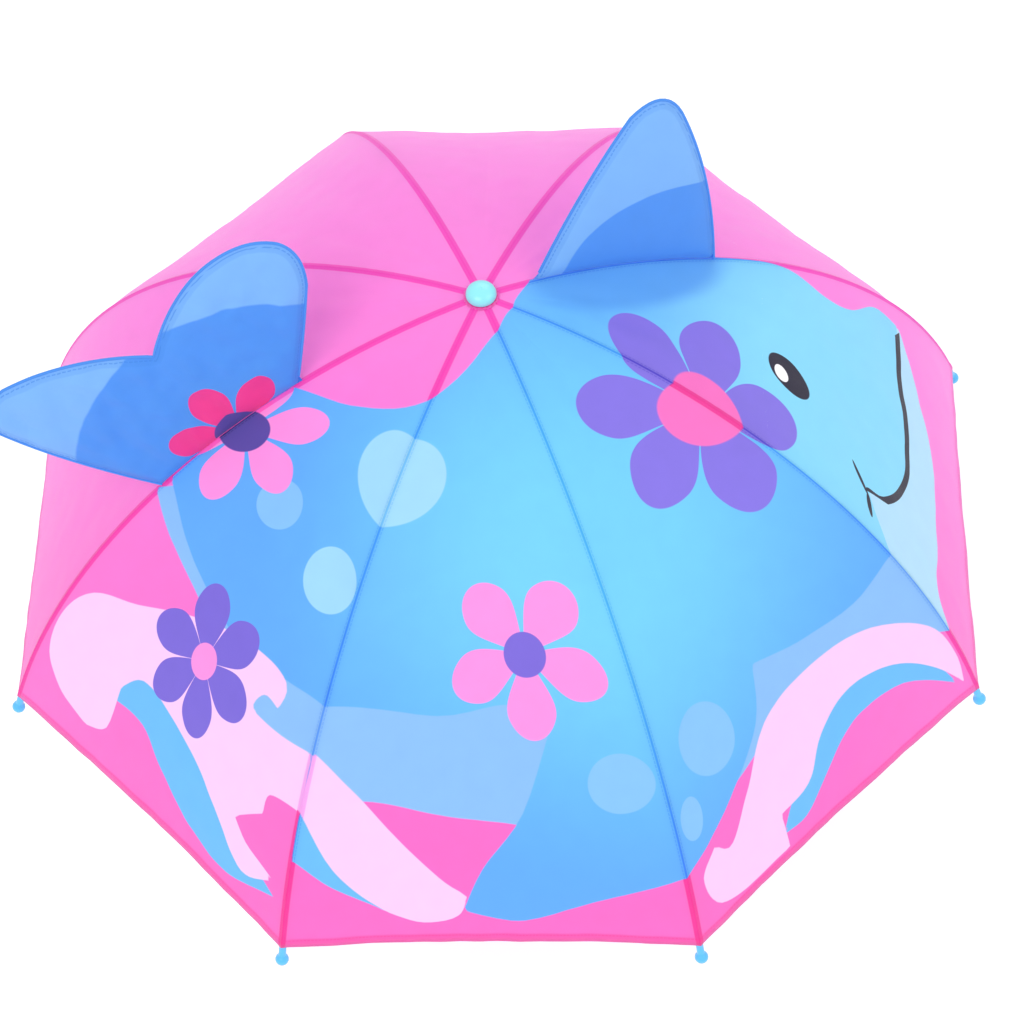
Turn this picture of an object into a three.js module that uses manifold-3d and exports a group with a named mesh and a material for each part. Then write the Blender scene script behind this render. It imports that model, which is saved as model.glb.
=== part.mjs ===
// Children's stick umbrella with a domed eight-rib canopy, a padded dorsal fin and a padded tail.
// Millimetres, +Z up along the shaft. The origin is the middle of the handle's straight grip.
// The umbrella is modelled open. Rib 1 points 22.5 degrees from +X, and the rest follow at 45 degrees.
import * as THREE from "three";
import { mergeVertices } from "three/addons/utils/BufferGeometryUtils.js";
import Module from "manifold-3d";

const wasm = await Module();
wasm.setup();

// ---- driving dimensions ----
const ribCount = 8;
const firstRib = Math.PI / 8;
const canopyRadius = 388; // radius of the dome's arc, outer face of the cloth
const canopyStart = THREE.MathUtils.degToRad(2.4); // slope of the cloth at the shaft
const canopyEnd = THREE.MathUtils.degToRad(71.7); // slope of the cloth at the rib tips
const clothThickness = 1.0;
const gap = 0.4; // running and resting clearance between pieces

const pivotHeight = 520; // rib pivots in the top notch
const crownHeight = pivotHeight + 4.6; // outer face of the cloth on the axis
const notchPivotRadius = 7.2;
const runnerPivotRadius = 9.5;
const jointAngle = THREE.MathUtils.degToRad(32.2); // where the stretcher meets the rib
const flexOffset = 3.6; // the rib bends just outside the stretcher joint
const flexGap = 0.9; // half the clearance between the two stretches of rib

const shaftRadius = 4.0;
const shaftBore = 3.3;
const shaftBottom = 1;
const shaftTop = crownHeight + 3.6;

const ribWire = 1.3; // radius of the rib wire
const jointDrop = 4.4; // stretcher pivot below the rib's centre line
const lugRadius = 2.5;
const webHalf = 2.4; // half the width of the web between the rib and its lug
const neckLap = 2; // the neck runs this far onto the rib wire
const wireStart = 18; // along the rib from the shaft
const eyeRadius = 1.9;
const eyeThickness = 1.2;
const wireRadius = 0.5; // tie wire through the eyes
const slotWidth = 2.0;

const runnerLength = 47; // from the pivots down to the runner's lower end
const catchThickness = 1.2;

const handleRadius = 8.5;
const handleTop = 45;
const hookRadius = 24;
const hookDepth = -35; // height where the straight grip turns into the hook
const hookTip = -20;

// ---- colours ----
const finishes = {
  steel: { color: 0xb9bcc2, roughness: 0.32, metalness: 0.95 },
  blackSteel: { color: 0x3a3d43, roughness: 0.45, metalness: 0.8 },
  aqua: { color: 0x8fe3ea, roughness: 0.38, metalness: 0 },
  tipBlue: { color: 0x5fc3ff, roughness: 0.35, metalness: 0 },
  white: { color: 0xeef1f4, roughness: 0.45, metalness: 0 },
  pinkCloth: { color: 0xff80d8, roughness: 0.75, metalness: 0 },
  blueCloth: { color: 0x4a9df5, roughness: 0.75, metalness: 0 },
};

const umbrella = new THREE.Group();

function addPiece(parent, name, geometry, finish) {
  const mesh = new THREE.Mesh(geometry, new THREE.MeshStandardMaterial(finishes[finish]));
  mesh.name = name;
  parent.add(mesh);
  return mesh;
}

// ---- solid helpers ----
function toSolid(geometry) {
  const bare = geometry.clone();
  bare.deleteAttribute("normal");
  bare.deleteAttribute("uv");
  const merged = mergeVertices(bare, 1e-4);
  return new wasm.Manifold(
    new wasm.Mesh({
      numProp: 3,
      vertProperties: new Float32Array(merged.attributes.position.array),
      triVerts: new Uint32Array(merged.index.array),
    }),
  );
}

function toGeometry(solid) {
  const { vertProperties, triVerts } = solid.getMesh();
  const geometry = new THREE.BufferGeometry();
  geometry.setAttribute("position", new THREE.BufferAttribute(vertProperties, 3));
  geometry.setIndex(new THREE.BufferAttribute(triVerts, 1));
  return geometry;
}

const join = (...geometries) =>
  toGeometry(geometries.map(toSolid).reduce((whole, next) => whole.add(next)));

const cut = (geometry, ...tools) =>
  toGeometry(tools.map(toSolid).reduce((whole, tool) => whole.subtract(tool), toSolid(geometry)));

// A lathe about Z through [radius, height] points that start and end on the axis.
function turned(points, segments = 24, phase = 0) {
  const profile = points.map(([radius, height]) => new THREE.Vector2(radius, height));
  return new THREE.LatheGeometry(profile, segments).rotateX(Math.PI / 2).rotateZ(phase);
}

// A ring with a square section between two radii and two heights.
const ring = (inner, outer, bottom, top, segments = 24, phase = 0) =>
  turned(
    [
      [inner, bottom],
      [outer, bottom],
      [outer, top],
      [inner, top],
      [inner, bottom],
    ],
    segments,
    phase,
  );

const box = (width, depth, height, x, y, z) =>
  new THREE.BoxGeometry(width, depth, height).translate(x, y, z);

// A disc standing in the rib's plane, its axis across the rib.
const crossDisc = (radius, thickness, x, z, y = 0, segments = 10) =>
  new THREE.CylinderGeometry(radius, radius, thickness, segments).translate(x, y, z);

// An outline of [x, z] points in the rib's plane, extruded evenly to both sides of it.
function plate(outline, thickness) {
  const shape = new THREE.Shape(outline.map(([x, z]) => new THREE.Vector2(x, z)));
  return new THREE.ExtrudeGeometry(shape, { depth: thickness, bevelEnabled: false })
    .rotateX(Math.PI / 2)
    .translate(0, thickness / 2, 0);
}

// A round bar with `sides` flats along a curve.
function bar(curve, radius, sides, steps) {
  const section = new THREE.Shape(
    Array.from({ length: sides }, (_, i) => {
      const turn = (2 * Math.PI * (i + 0.5)) / sides;
      return new THREE.Vector2(radius * Math.cos(turn), radius * Math.sin(turn));
    }),
  );
  return new THREE.ExtrudeGeometry(section, { steps, extrudePath: curve, bevelEnabled: false });
}

// ---- the dome's arc in a rib's plane: x outward from the shaft, z up ----
const arcCentre = {
  x: -canopyRadius * Math.sin(canopyStart),
  z: crownHeight - canopyRadius * Math.cos(canopyStart),
};

const onArc = (slope, inset = 0) => [
  arcCentre.x + (canopyRadius - inset) * Math.sin(slope),
  arcCentre.z + (canopyRadius - inset) * Math.cos(slope),
];

const arcPoints = (from, to, count, inset) =>
  Array.from({ length: count + 1 }, (_, i) => onArc(from + ((to - from) * i) / count, inset));

const ribInset = clothThickness + gap + ribWire;
const ribEnd = canopyEnd;
const clothStart = canopyStart + 15.6 / canopyRadius;
const clothEnd = canopyEnd - 8 / canopyRadius;

// ---- shaft and what is fixed to it ----
const joint = onArc(jointAngle, ribInset + jointDrop); // stretcher pivot on the open rib
const runnerHeight = joint[1] * 2 - pivotHeight - 3.0; // runner pivots when open
const runnerBottom = runnerHeight - runnerLength;
// How far the runner slides down: the record's runner_slide joint uses the same travel.
const runnerTravel = 252.07;
const slotTop = -4; // the runner's catch slot, below its pivots
const slotBottom = -39;
const upperShoulder = runnerBottom - gap;
const lowerShoulder = runnerHeight - runnerTravel + slotBottom + gap;

function catchSlot(shoulder, up) {
  const height = 15;
  const middle = shoulder - up * (height / 2 - 0.8);
  return box(slotWidth, 6, height, 0, -4.5, middle);
}

const shaftTube = cut(
  ring(shaftBore, shaftRadius, shaftBottom, shaftTop, 20),
  catchSlot(upperShoulder, 1),
  catchSlot(lowerShoulder, -1),
);
addPiece(umbrella, "shaft_tube", shaftTube, "steel");

// The top notch: a disc with fingers below it, and a rib eye between each two fingers.
function radialSlots(inner, outer, bottom, top) {
  const length = outer - inner;
  return Array.from({ length: ribCount }, (_, i) =>
    box(length, slotWidth, top - bottom, (inner + outer) / 2, 0, (bottom + top) / 2).rotateZ(
      firstRib + (i * Math.PI) / 4,
    ),
  );
}

const notchRadius = 9.4;
const wireGroove = wireRadius + gap;
const topNotch = cut(
  turned(
    [
      [shaftRadius + gap, pivotHeight - 3.4],
      [notchRadius - 0.8, pivotHeight - 3.4],
      [notchRadius, pivotHeight - 2.6],
      [notchRadius, pivotHeight + 3.3],
      [shaftRadius + gap, pivotHeight + 3.3],
      [shaftRadius + gap, pivotHeight - 3.4],
    ],
    24,
  ),
  ring(notchPivotRadius - wireGroove, 12, pivotHeight - wireGroove, pivotHeight + wireGroove, 24),
  ...radialSlots(shaftRadius, 12, pivotHeight - 5, pivotHeight + eyeRadius + gap),
);
addPiece(umbrella, "top_notch", topNotch, "white");

const tieWire = (radius, height) =>
  new THREE.TorusGeometry(radius, wireRadius, 5, 28).translate(0, 0, height);
addPiece(umbrella, "notch_wire", tieWire(notchPivotRadius, pivotHeight), "steel");

const rosetteTop = crownHeight;
addPiece(
  umbrella,
  "crown_rosette",
  ring(shaftRadius + gap, 15, rosetteTop - 0.9, rosetteTop, ribCount, firstRib),
  "pinkCloth",
);

const capRadius = 9.8;
const capBottom = rosetteTop + gap;
const canopyCap = turned(
  [
    [0, shaftTop + gap],
    [shaftRadius + gap, shaftTop + gap],
    [shaftRadius + gap, capBottom],
    [capRadius - 0.6, capBottom],
    [capRadius, capBottom + 0.8],
    [capRadius, capBottom + 3.2],
    [capRadius - 1.0, capBottom + 5.4],
    [capRadius - 3.2, capBottom + 7.2],
    [capRadius - 6.2, capBottom + 8.1],
    [0, capBottom + 8.1],
  ],
  22,
);
addPiece(umbrella, "canopy_cap", canopyCap, "aqua");

addPiece(
  umbrella,
  "runner_stop",
  ring(shaftRadius + gap, 5.6, runnerHeight + 3.9, runnerHeight + 7.2, 20),
  "blackSteel",
);

// ---- handle: a straight grip that turns into a hook towards +X ----
const handlePath = new THREE.CurvePath();
handlePath.add(
  new THREE.LineCurve3(new THREE.Vector3(0, 0, handleTop), new THREE.Vector3(0, 0, hookDepth)),
);
class HookCurve extends THREE.Curve {
  getPoint(t, target = new THREE.Vector3()) {
    const turn = Math.PI * (1 + t);
    return target.set(hookRadius + hookRadius * Math.cos(turn), 0, hookDepth + hookRadius * Math.sin(turn));
  }
}
handlePath.add(new HookCurve());
handlePath.add(
  new THREE.LineCurve3(
    new THREE.Vector3(2 * hookRadius, 0, hookDepth),
    new THREE.Vector3(2 * hookRadius, 0, hookTip),
  ),
);
const shaftSocket = new THREE.CylinderGeometry(shaftRadius + gap, shaftRadius + gap, handleTop + 1, 20)
  .rotateX(Math.PI / 2)
  .translate(0, 0, (handleTop + 1) / 2);
addPiece(umbrella, "handle", cut(bar(handlePath, handleRadius, 14, 26), shaftSocket), "tipBlue");

const collarBottom = handleTop + gap;
const handleCollar = turned(
  [
    [shaftRadius + gap, collarBottom],
    [handleRadius + 0.8, collarBottom],
    [handleRadius + 0.8, collarBottom + 3],
    [handleRadius - 1.2, collarBottom + 8],
    [shaftRadius + gap, collarBottom + 8],
    [shaftRadius + gap, collarBottom],
  ],
  24,
);
addPiece(umbrella, "handle_collar", handleCollar, "aqua");

// ---- spring catches: a leaf inside the tube with a nose that stands out through its slot ----
function springCatch(shoulder, up) {
  const outline = [
    [0.4, 0],
    [6.0, 0],
    [6.0, -1.5],
    [2.9, -11.5],
    [1.6, -11.5],
    [1.6, -26],
    [0.4, -26],
  ].map(([x, z]) => [x, shoulder + up * z]);
  return plate(up > 0 ? outline : outline.reverse(), catchThickness).rotateZ(-Math.PI / 2);
}
addPiece(umbrella, "upper_catch", springCatch(upperShoulder, 1), "steel");
addPiece(umbrella, "lower_catch", springCatch(lowerShoulder, -1), "steel");

// ---- runner: a slotted flange on a sleeve with a flared finger collar ----
const sleeveRadius = 6.8;
const collarRadius = 7.8;
const flangeRadius = 12;
const runnerBody = cut(
  turned(
    [
      [shaftRadius + gap, -runnerLength],
      [collarRadius - 0.6, -runnerLength],
      [collarRadius, -runnerLength + 0.8],
      [collarRadius, -runnerLength + 9],
      [sleeveRadius, -runnerLength + 11],
      [sleeveRadius, -3.2],
      [flangeRadius - 0.8, -3.2],
      [flangeRadius, -2.4],
      [flangeRadius, 3.5],
      [shaftRadius + gap, 3.5],
      [shaftRadius + gap, -runnerLength],
    ],
    24,
  ),
  ring(runnerPivotRadius - wireGroove, 14, -wireGroove, wireGroove, 24),
  ...radialSlots(sleeveRadius + 0.1, 14, -5, 5),
  box(catchThickness + 1.4, 8, slotTop - slotBottom, 0, -6, (slotTop + slotBottom) / 2),
);
const runner = new THREE.Group();
runner.position.z = runnerHeight;
umbrella.add(runner);
addPiece(runner, "runner_body", runnerBody, "white");
addPiece(runner, "runner_wire", tieWire(runnerPivotRadius, 0), "steel");

// ---- one rib, drawn in the plane x outward, z up, then copied round the shaft ----
class RibCurve extends THREE.Curve {
  constructor(from, to) {
    super();
    this.from = from;
    this.to = to;
  }
  getPoint(t, target = new THREE.Vector3()) {
    const [x, z] = onArc(this.from + (this.to - this.from) * t, ribInset);
    return target.set(x, 0, z);
  }
}

const flexAngle = jointAngle + flexOffset / canopyRadius;
const flexHalf = flexGap / canopyRadius;

function innerRibGeometry() {
  const wireSlope = canopyStart + wireStart / canopyRadius;
  const wire = bar(new RibCurve(wireSlope, flexAngle - flexHalf), ribWire, 6, 6);
  const start = onArc(wireSlope + neckLap / canopyRadius, ribInset);
  const neck = plate(
    [
      [notchPivotRadius, pivotHeight - 0.9],
      [start[0], start[1] - 1.1],
      [start[0], start[1] + 0.9],
      [notchPivotRadius, pivotHeight + 0.9],
    ],
    eyeThickness,
  );
  const eye = crossDisc(eyeRadius, eyeThickness, notchPivotRadius, pivotHeight);
  const lug = crossDisc(lugRadius, eyeThickness, ...joint);
  const lugRoot = onArc(jointAngle, ribInset);
  const along = [Math.cos(jointAngle) * webHalf, -Math.sin(jointAngle) * webHalf];
  const web = plate(
    [
      [joint[0] - along[0], joint[1] - along[1]],
      [joint[0] + along[0], joint[1] + along[1]],
      [lugRoot[0] + along[0], lugRoot[1] + along[1]],
      [lugRoot[0] - along[0], lugRoot[1] - along[1]],
    ],
    eyeThickness,
  );
  return cut(
    join(wire, neck, eye, lug, web),
    crossDisc(wireRadius + gap, 4, notchPivotRadius, pivotHeight, 0, 10),
    crossDisc(rivetRadius + 0.3, 4, ...joint, 0, 10),
  );
}

const rivetRadius = 0.7;
const cheekOffset = eyeThickness / 2 + 0.35; // inner face of each fork cheek
const cheekThickness = 0.9;
const rivetHead = cheekOffset + cheekThickness - 0.1;

const outerRibGeometry = () => bar(new RibCurve(flexAngle + flexHalf, ribEnd), ribWire, 6, 9);

// Tip: a ball on a short neck that covers the end of the rib wire.
function tipGeometry() {
  const ball = 4.4;
  const neck = ribWire + 1.1;
  const socket = 8;
  const rest = 4.8; // from the end of the wire to the middle of the ball
  const tip = turned(
    [
      [0, 0],
      [ribWire + 0.35, 0],
      [ribWire + 0.35, -socket],
      [neck, -socket],
      [neck, 0.6],
      ...[50, 90, 130, 160].map((turn) => {
        const angle = THREE.MathUtils.degToRad(turn);
        return [ball * Math.sin(angle), rest - ball * Math.cos(angle)];
      }),
      [0, rest + ball],
    ],
    12,
  );
  const end = onArc(ribEnd, ribInset);
  return tip.rotateY(Math.PI / 2 + ribEnd).translate(end[0], 0, end[1]);
}

// The rivet across the stretcher's fork, along Z through the origin.
const rivetProfile = () =>
  turned(
    [
      [0, -rivetHead - 0.6],
      [1.5, -rivetHead - 0.6],
      [1.5, -rivetHead],
      [rivetRadius, -rivetHead + 0.2],
      [rivetRadius, rivetHead - 0.2],
      [1.5, rivetHead],
      [1.5, rivetHead + 0.6],
      [0, rivetHead + 0.6],
    ],
    8,
  );

// Stretcher: an eye at the runner, a channel bar, and a riveted fork round the rib's lug.
function stretcherGeometry() {
  const foot = [runnerPivotRadius, runnerHeight];
  const reach = Math.hypot(joint[0] - foot[0], joint[1] - foot[1]);
  const rise = Math.atan2(joint[1] - foot[1], joint[0] - foot[0]);
  const tongue = 16;
  const forkRoot = 6.5;
  const flat = (from, to, half, thickness, y = 0) =>
    box(to - from, thickness, 2 * half, (from + to) / 2, y, 0);
  const cheekMiddle = cheekOffset + cheekThickness / 2;
  const cheeks = [cheekMiddle, -cheekMiddle].flatMap((y) => [
    crossDisc(2.2, cheekThickness, reach, 0, y),
    flat(reach - forkRoot - 1, reach, 1.5, cheekThickness, y),
  ]);
  return cut(
    join(
      crossDisc(eyeRadius, eyeThickness, 0, 0),
      flat(0, tongue + 1, 1.1, eyeThickness),
      flat(tongue, reach - forkRoot, 1.5, 2 * (cheekOffset + cheekThickness)),
      ...cheeks,
      rivetProfile().rotateX(Math.PI / 2).translate(reach, 0, 0),
    ),
    crossDisc(wireRadius + gap, 4, 0, 0, 0, 10),
  )
    .rotateY(-rise)
    .translate(foot[0], 0, foot[1]);
}

// The cloth on one rib: half a panel to each side of the seam, as one thin closed shell.
function goreGeometry() {
  const rows = 14;
  const halfTurn = Math.PI / ribCount;
  const grid = [0, clothThickness].map((inset) =>
    arcPoints(clothStart, clothEnd, rows, inset).map(([x, z]) => {
      const side = x * Math.sin(halfTurn) * Math.cos(halfTurn) - gap / 2;
      const middle = x * Math.cos(halfTurn) * Math.cos(halfTurn);
      return [
        [middle, -side, z],
        [x, 0, z],
        [middle, side, z],
      ];
    }),
  );
  const points = grid.flat(2).flat();
  const outer = (row, column) => row * 3 + column;
  const inner = (row, column) => outer(rows + 1 + row, column);
  const faces = [];
  const quad = (a, b, c, d) => faces.push(a, b, c, a, c, d);
  for (let row = 0; row < rows; row++) {
    const next = row + 1;
    for (let column = 0; column < 2; column++) {
      const beside = column + 1;
      quad(outer(row, column), outer(next, column), outer(next, beside), outer(row, beside));
      quad(inner(row, column), inner(row, beside), inner(next, beside), inner(next, column));
    }
    quad(outer(row, 0), inner(row, 0), inner(next, 0), outer(next, 0));
    quad(outer(row, 2), outer(next, 2), inner(next, 2), inner(row, 2));
  }
  for (let column = 0; column < 2; column++) {
    const beside = column + 1;
    quad(outer(0, column), outer(0, beside), inner(0, beside), inner(0, column));
    quad(outer(rows, column), inner(rows, column), inner(rows, beside), outer(rows, beside));
  }
  const geometry = new THREE.BufferGeometry();
  geometry.setAttribute("position", new THREE.Float32BufferAttribute(points, 3));
  geometry.setIndex(faces);
  return geometry;
}

const ribGroups = Array.from({ length: ribCount }, (_, i) => {
  const group = new THREE.Group();
  group.rotation.z = firstRib + (i * 2 * Math.PI) / ribCount;
  umbrella.add(group);
  const number = i + 1;
  addPiece(group, `rib_inner_${number}`, innerRibGeometry(), "blackSteel");
  addPiece(group, `rib_outer_${number}`, outerRibGeometry(), "blackSteel");
  addPiece(group, `rib_tip_${number}`, tipGeometry(), "tipBlue");
  addPiece(group, `stretcher_${number}`, stretcherGeometry(), "blackSteel");
  const printed = number === 1 || number > 5;
  addPiece(group, `canopy_gore_${number}`, goreGeometry(), printed ? "blueCloth" : "pinkCloth");
  return group;
});

// ---- padded fin and tail: outlines in the seam's plane, [along the seam, height above it] ----
// The base runs along the seam between two slopes, and the outline leans to one side of the seam.
function paddedPiece(from, to, outline, thickness, lean) {
  const standOff = 1.4;
  const start = onArc(from);
  const end = onArc(to);
  const tilt = Math.atan2(end[1] - start[1], end[0] - start[0]);
  const base = arcPoints(from, to, 8, -standOff).map(([x, z]) => {
    const along = x - start[0];
    const up = z - start[1];
    return [
      along * Math.cos(tilt) + up * Math.sin(tilt),
      -along * Math.sin(tilt) + up * Math.cos(tilt),
    ];
  });
  const shape = new THREE.Shape(base.map(([x, z]) => new THREE.Vector2(x, z)));
  outline.forEach(([kind, ...values]) => shape[kind](...values));
  return new THREE.ExtrudeGeometry(shape, { depth: thickness, bevelEnabled: false, curveSegments: 5 })
    .rotateX(Math.PI / 2)
    .translate(0, thickness / 2, 0)
    .rotateX(-lean)
    .rotateY(-tilt)
    .translate(start[0], 0, start[1]);
}

const finBase = [canopyStart + 34 / canopyRadius, canopyStart + 168 / canopyRadius];
const fin = paddedPiece(
  ...finBase,
  [
    ["quadraticCurveTo", 112, 62, 88, 112],
    ["quadraticCurveTo", 76, 132, 62, 118],
    ["quadraticCurveTo", 32, 72, 3, 3],
  ],
  8,
  THREE.MathUtils.degToRad(15),
);
addPiece(ribGroups[0], "dorsal_fin", fin, "blueCloth");

const tailBase = [canopyStart + 131 / canopyRadius, canopyStart + 240 / canopyRadius];
const tail = paddedPiece(
  ...tailBase,
  [
    ["quadraticCurveTo", 140, 62, 152, 108],
    ["quadraticCurveTo", 152, 130, 128, 130],
    ["quadraticCurveTo", 80, 120, 46, 84],
    ["quadraticCurveTo", 10, 112, -40, 112],
    ["quadraticCurveTo", -66, 106, -62, 86],
    ["quadraticCurveTo", -34, 52, 2, 3],
  ],
  8,
  THREE.MathUtils.degToRad(-15),
);
addPiece(ribGroups[4], "tail_fluke", tail, "blueCloth");

// ---- tie strap: hangs from the hem beside rib 3 ----
const strapWidth = 16;
const strapLength = 105;
const hem = onArc(clothEnd);
const strap = box(1.2, strapWidth, strapLength, hem[0] - 12, 24, hem[1] - 2 - strapLength / 2);
addPiece(ribGroups[2], "tie_strap", strap, "pinkCloth");

export default umbrella;
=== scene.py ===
import math

import bmesh
import bpy
import numpy as np
from mathutils import Matrix, Vector, geometry, noise


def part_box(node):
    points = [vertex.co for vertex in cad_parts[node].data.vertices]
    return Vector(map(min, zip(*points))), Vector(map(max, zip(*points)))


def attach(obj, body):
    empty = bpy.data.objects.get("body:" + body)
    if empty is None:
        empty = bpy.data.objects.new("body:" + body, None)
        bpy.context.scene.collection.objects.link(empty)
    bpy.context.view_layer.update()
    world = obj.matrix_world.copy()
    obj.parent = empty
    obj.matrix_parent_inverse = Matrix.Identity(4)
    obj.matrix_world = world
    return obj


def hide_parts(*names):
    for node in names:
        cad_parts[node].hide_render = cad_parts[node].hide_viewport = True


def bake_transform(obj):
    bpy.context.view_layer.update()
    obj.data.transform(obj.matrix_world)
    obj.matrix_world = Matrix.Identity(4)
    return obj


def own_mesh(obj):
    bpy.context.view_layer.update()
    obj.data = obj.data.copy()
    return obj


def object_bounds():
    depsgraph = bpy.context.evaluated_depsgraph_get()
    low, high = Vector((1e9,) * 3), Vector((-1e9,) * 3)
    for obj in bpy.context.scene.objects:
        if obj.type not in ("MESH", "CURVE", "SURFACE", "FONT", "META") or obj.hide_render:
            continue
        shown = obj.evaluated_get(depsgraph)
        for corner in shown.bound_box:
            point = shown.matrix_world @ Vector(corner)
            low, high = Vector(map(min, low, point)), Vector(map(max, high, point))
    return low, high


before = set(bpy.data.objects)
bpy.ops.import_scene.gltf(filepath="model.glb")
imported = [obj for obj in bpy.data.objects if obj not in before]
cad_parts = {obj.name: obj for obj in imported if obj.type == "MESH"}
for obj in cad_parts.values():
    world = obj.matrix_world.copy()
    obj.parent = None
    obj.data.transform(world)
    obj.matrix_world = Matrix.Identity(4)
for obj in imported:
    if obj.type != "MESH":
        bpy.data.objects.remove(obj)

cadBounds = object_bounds()
print("frame loaded")

umbrella = {
    "ribs": 8,
    "firstRib": math.radians(22.5),
    "domeRadius": 0.388,
    "startSlope": math.radians(2.4),
    "crown": 0.5246,
    "flexAt": 0.2054,  # lengths along the cloth, from the shaft
    "clothStart": 0.0098,
    "hem": 0.4613,
    "ribEnd": 0.4693,
    "ribInset": 0.0027,
    "ribWire": 0.0013,
}
halfTurn = math.pi / umbrella["ribs"]
arcX = -umbrella["domeRadius"] * math.sin(umbrella["startSlope"])
arcZ = umbrella["crown"] - umbrella["domeRadius"] * math.cos(umbrella["startSlope"])
ribNumbers = range(1, umbrella["ribs"] + 1)


def ribAngle(number):
    return umbrella["firstRib"] + (number - 1) * 2 * halfTurn


def slopeAt(along):
    return umbrella["startSlope"] + along / umbrella["domeRadius"]


def domePoint(along, proud=0.0):
    reach = umbrella["domeRadius"] + proud
    return arcX + reach * np.sin(slopeAt(along)), arcZ + reach * np.cos(slopeAt(along))


def onRib(number, along, proud=0.0):
    x, z = domePoint(along, proud)
    return Matrix.Rotation(ribAngle(number), 3, "Z") @ Vector((x, 0, z))


def easeStep(low, high, value):
    t = np.clip((value - low) / (high - low), 0, 1)
    return t * t * (3 - 2 * t)


# ---- node helpers ----
def addNode(tree, kind, **settings):
    item = tree.nodes.new(kind)
    for key, value in settings.items():
        setattr(item, key, value)
    return item


def feed(tree, socket, value):
    if isinstance(value, bpy.types.NodeSocket):
        tree.links.new(value, socket)
    else:
        socket.default_value = value


def calc(tree, operation, *values, clamp=False):
    item = addNode(tree, "ShaderNodeMath", operation=operation, use_clamp=clamp)
    for socket, value in zip(item.inputs, values):
        feed(tree, socket, value)
    return item.outputs[0]


def vectorCalc(tree, operation, *values):
    item = addNode(tree, "ShaderNodeVectorMath", operation=operation)
    for socket, value in zip(item.inputs, values):
        feed(tree, socket, value)
    return item.outputs["Value" if operation in ("LENGTH", "DOT_PRODUCT", "DISTANCE") else "Vector"]


def fade(tree, value, low, high, start=0.0, end=1.0, smooth=True):
    kind = "SMOOTHSTEP" if smooth else "LINEAR"
    item = addNode(tree, "ShaderNodeMapRange", interpolation_type=kind)
    for socket, number in zip(item.inputs, (value, low, high, start, end)):
        feed(tree, socket, number)
    return item.outputs[0]


def blendColour(tree, factor, below, above, mode="MIX"):
    item = addNode(tree, "ShaderNodeMix", data_type="RGBA", blend_type=mode)
    feed(tree, item.inputs["Factor"], factor)
    feed(tree, item.inputs["A"], below)
    feed(tree, item.inputs["B"], above)
    return item.outputs["Result"]


def attribute(tree, name, output="Fac"):
    return addNode(tree, "ShaderNodeAttribute", attribute_name=name).outputs[output]


def dye(code):
    channels = [int(code[i : i + 2], 16) / 255 for i in (0, 2, 4)]
    return tuple(c / 12.92 if c < 0.04045 else ((c + 0.055) / 1.055) ** 2.4 for c in channels) + (1.0,)


def newGroup(name, inputs, outputs):
    tree = bpy.data.node_groups.new(name, "ShaderNodeTree")
    for label, kind in inputs.items():
        tree.interface.new_socket(label, in_out="INPUT", socket_type="NodeSocket" + kind)
    for label, kind in outputs.items():
        tree.interface.new_socket(label, in_out="OUTPUT", socket_type="NodeSocket" + kind)
    return tree, tree.nodes.new("NodeGroupInput").outputs, tree.nodes.new("NodeGroupOutput").inputs


def useGroup(tree, name, **values):
    item = addNode(tree, "ShaderNodeGroup", node_tree=bpy.data.node_groups[name])
    for label, value in values.items():
        feed(tree, item.inputs[label], value)
    return item.outputs


def newMaterial(name, **constants):
    material = bpy.data.materials.new(name)
    material.use_nodes = True
    tree = material.node_tree
    shader = tree.nodes["Principled BSDF"]
    for label, value in constants.items():
        shader.inputs[label].default_value = value
    return material, tree, shader


def raiseSurface(tree, shader, height, distance, strength=1.0):
    item = addNode(tree, "ShaderNodeBump")
    item.inputs["Strength"].default_value = strength
    item.inputs["Distance"].default_value = distance
    feed(tree, item.inputs["Height"], height)
    tree.links.new(item.outputs["Normal"], shader.inputs["Normal"])


# ---- shared effects ----
def buildWeave():
    tree, given, gives = newGroup(
        "wovenThread",
        {"Place": "Vector", "Pitch": "Float"},
        {"Height": "Float", "Shade": "Float"},
    )
    parts = addNode(tree, "ShaderNodeSeparateXYZ")
    feed(tree, parts.inputs[0], given["Place"])
    turn = calc(tree, "DIVIDE", 2 * math.pi, given["Pitch"])
    warp = calc(tree, "SINE", calc(tree, "MULTIPLY", parts.outputs[0], turn))
    weft = calc(tree, "SINE", calc(tree, "MULTIPLY", parts.outputs[1], turn))
    slub = addNode(tree, "ShaderNodeTexNoise")
    slub.inputs["Scale"].default_value = 60
    slub.inputs["Detail"].default_value = 3
    feed(tree, slub.inputs["Vector"], given["Place"])
    crossing = calc(tree, "MULTIPLY", warp, weft)
    feed(tree, gives["Height"], calc(tree, "ADD", crossing, calc(tree, "MULTIPLY", slub.outputs[0], 0.4)))
    feed(tree, gives["Shade"], fade(tree, slub.outputs[0], 0.3, 0.7, 0.985, 1.015, smooth=False))


def buildStitch():
    tree, given, gives = newGroup(
        "stitchLine",
        {"Gap": "Float", "Offset": "Float", "Along": "Float", "Pitch": "Float"},
        {"Mask": "Float"},
    )
    away = calc(tree, "ABSOLUTE", calc(tree, "SUBTRACT", given["Gap"], given["Offset"]))
    line = fade(tree, away, 0.0005, 0.0002)
    step = calc(tree, "FRACT", calc(tree, "DIVIDE", given["Along"], given["Pitch"]))
    dash = fade(tree, calc(tree, "ABSOLUTE", calc(tree, "SUBTRACT", step, 0.5)), 0.4, 0.33)
    feed(tree, gives["Mask"], calc(tree, "MULTIPLY", line, dash))


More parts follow.
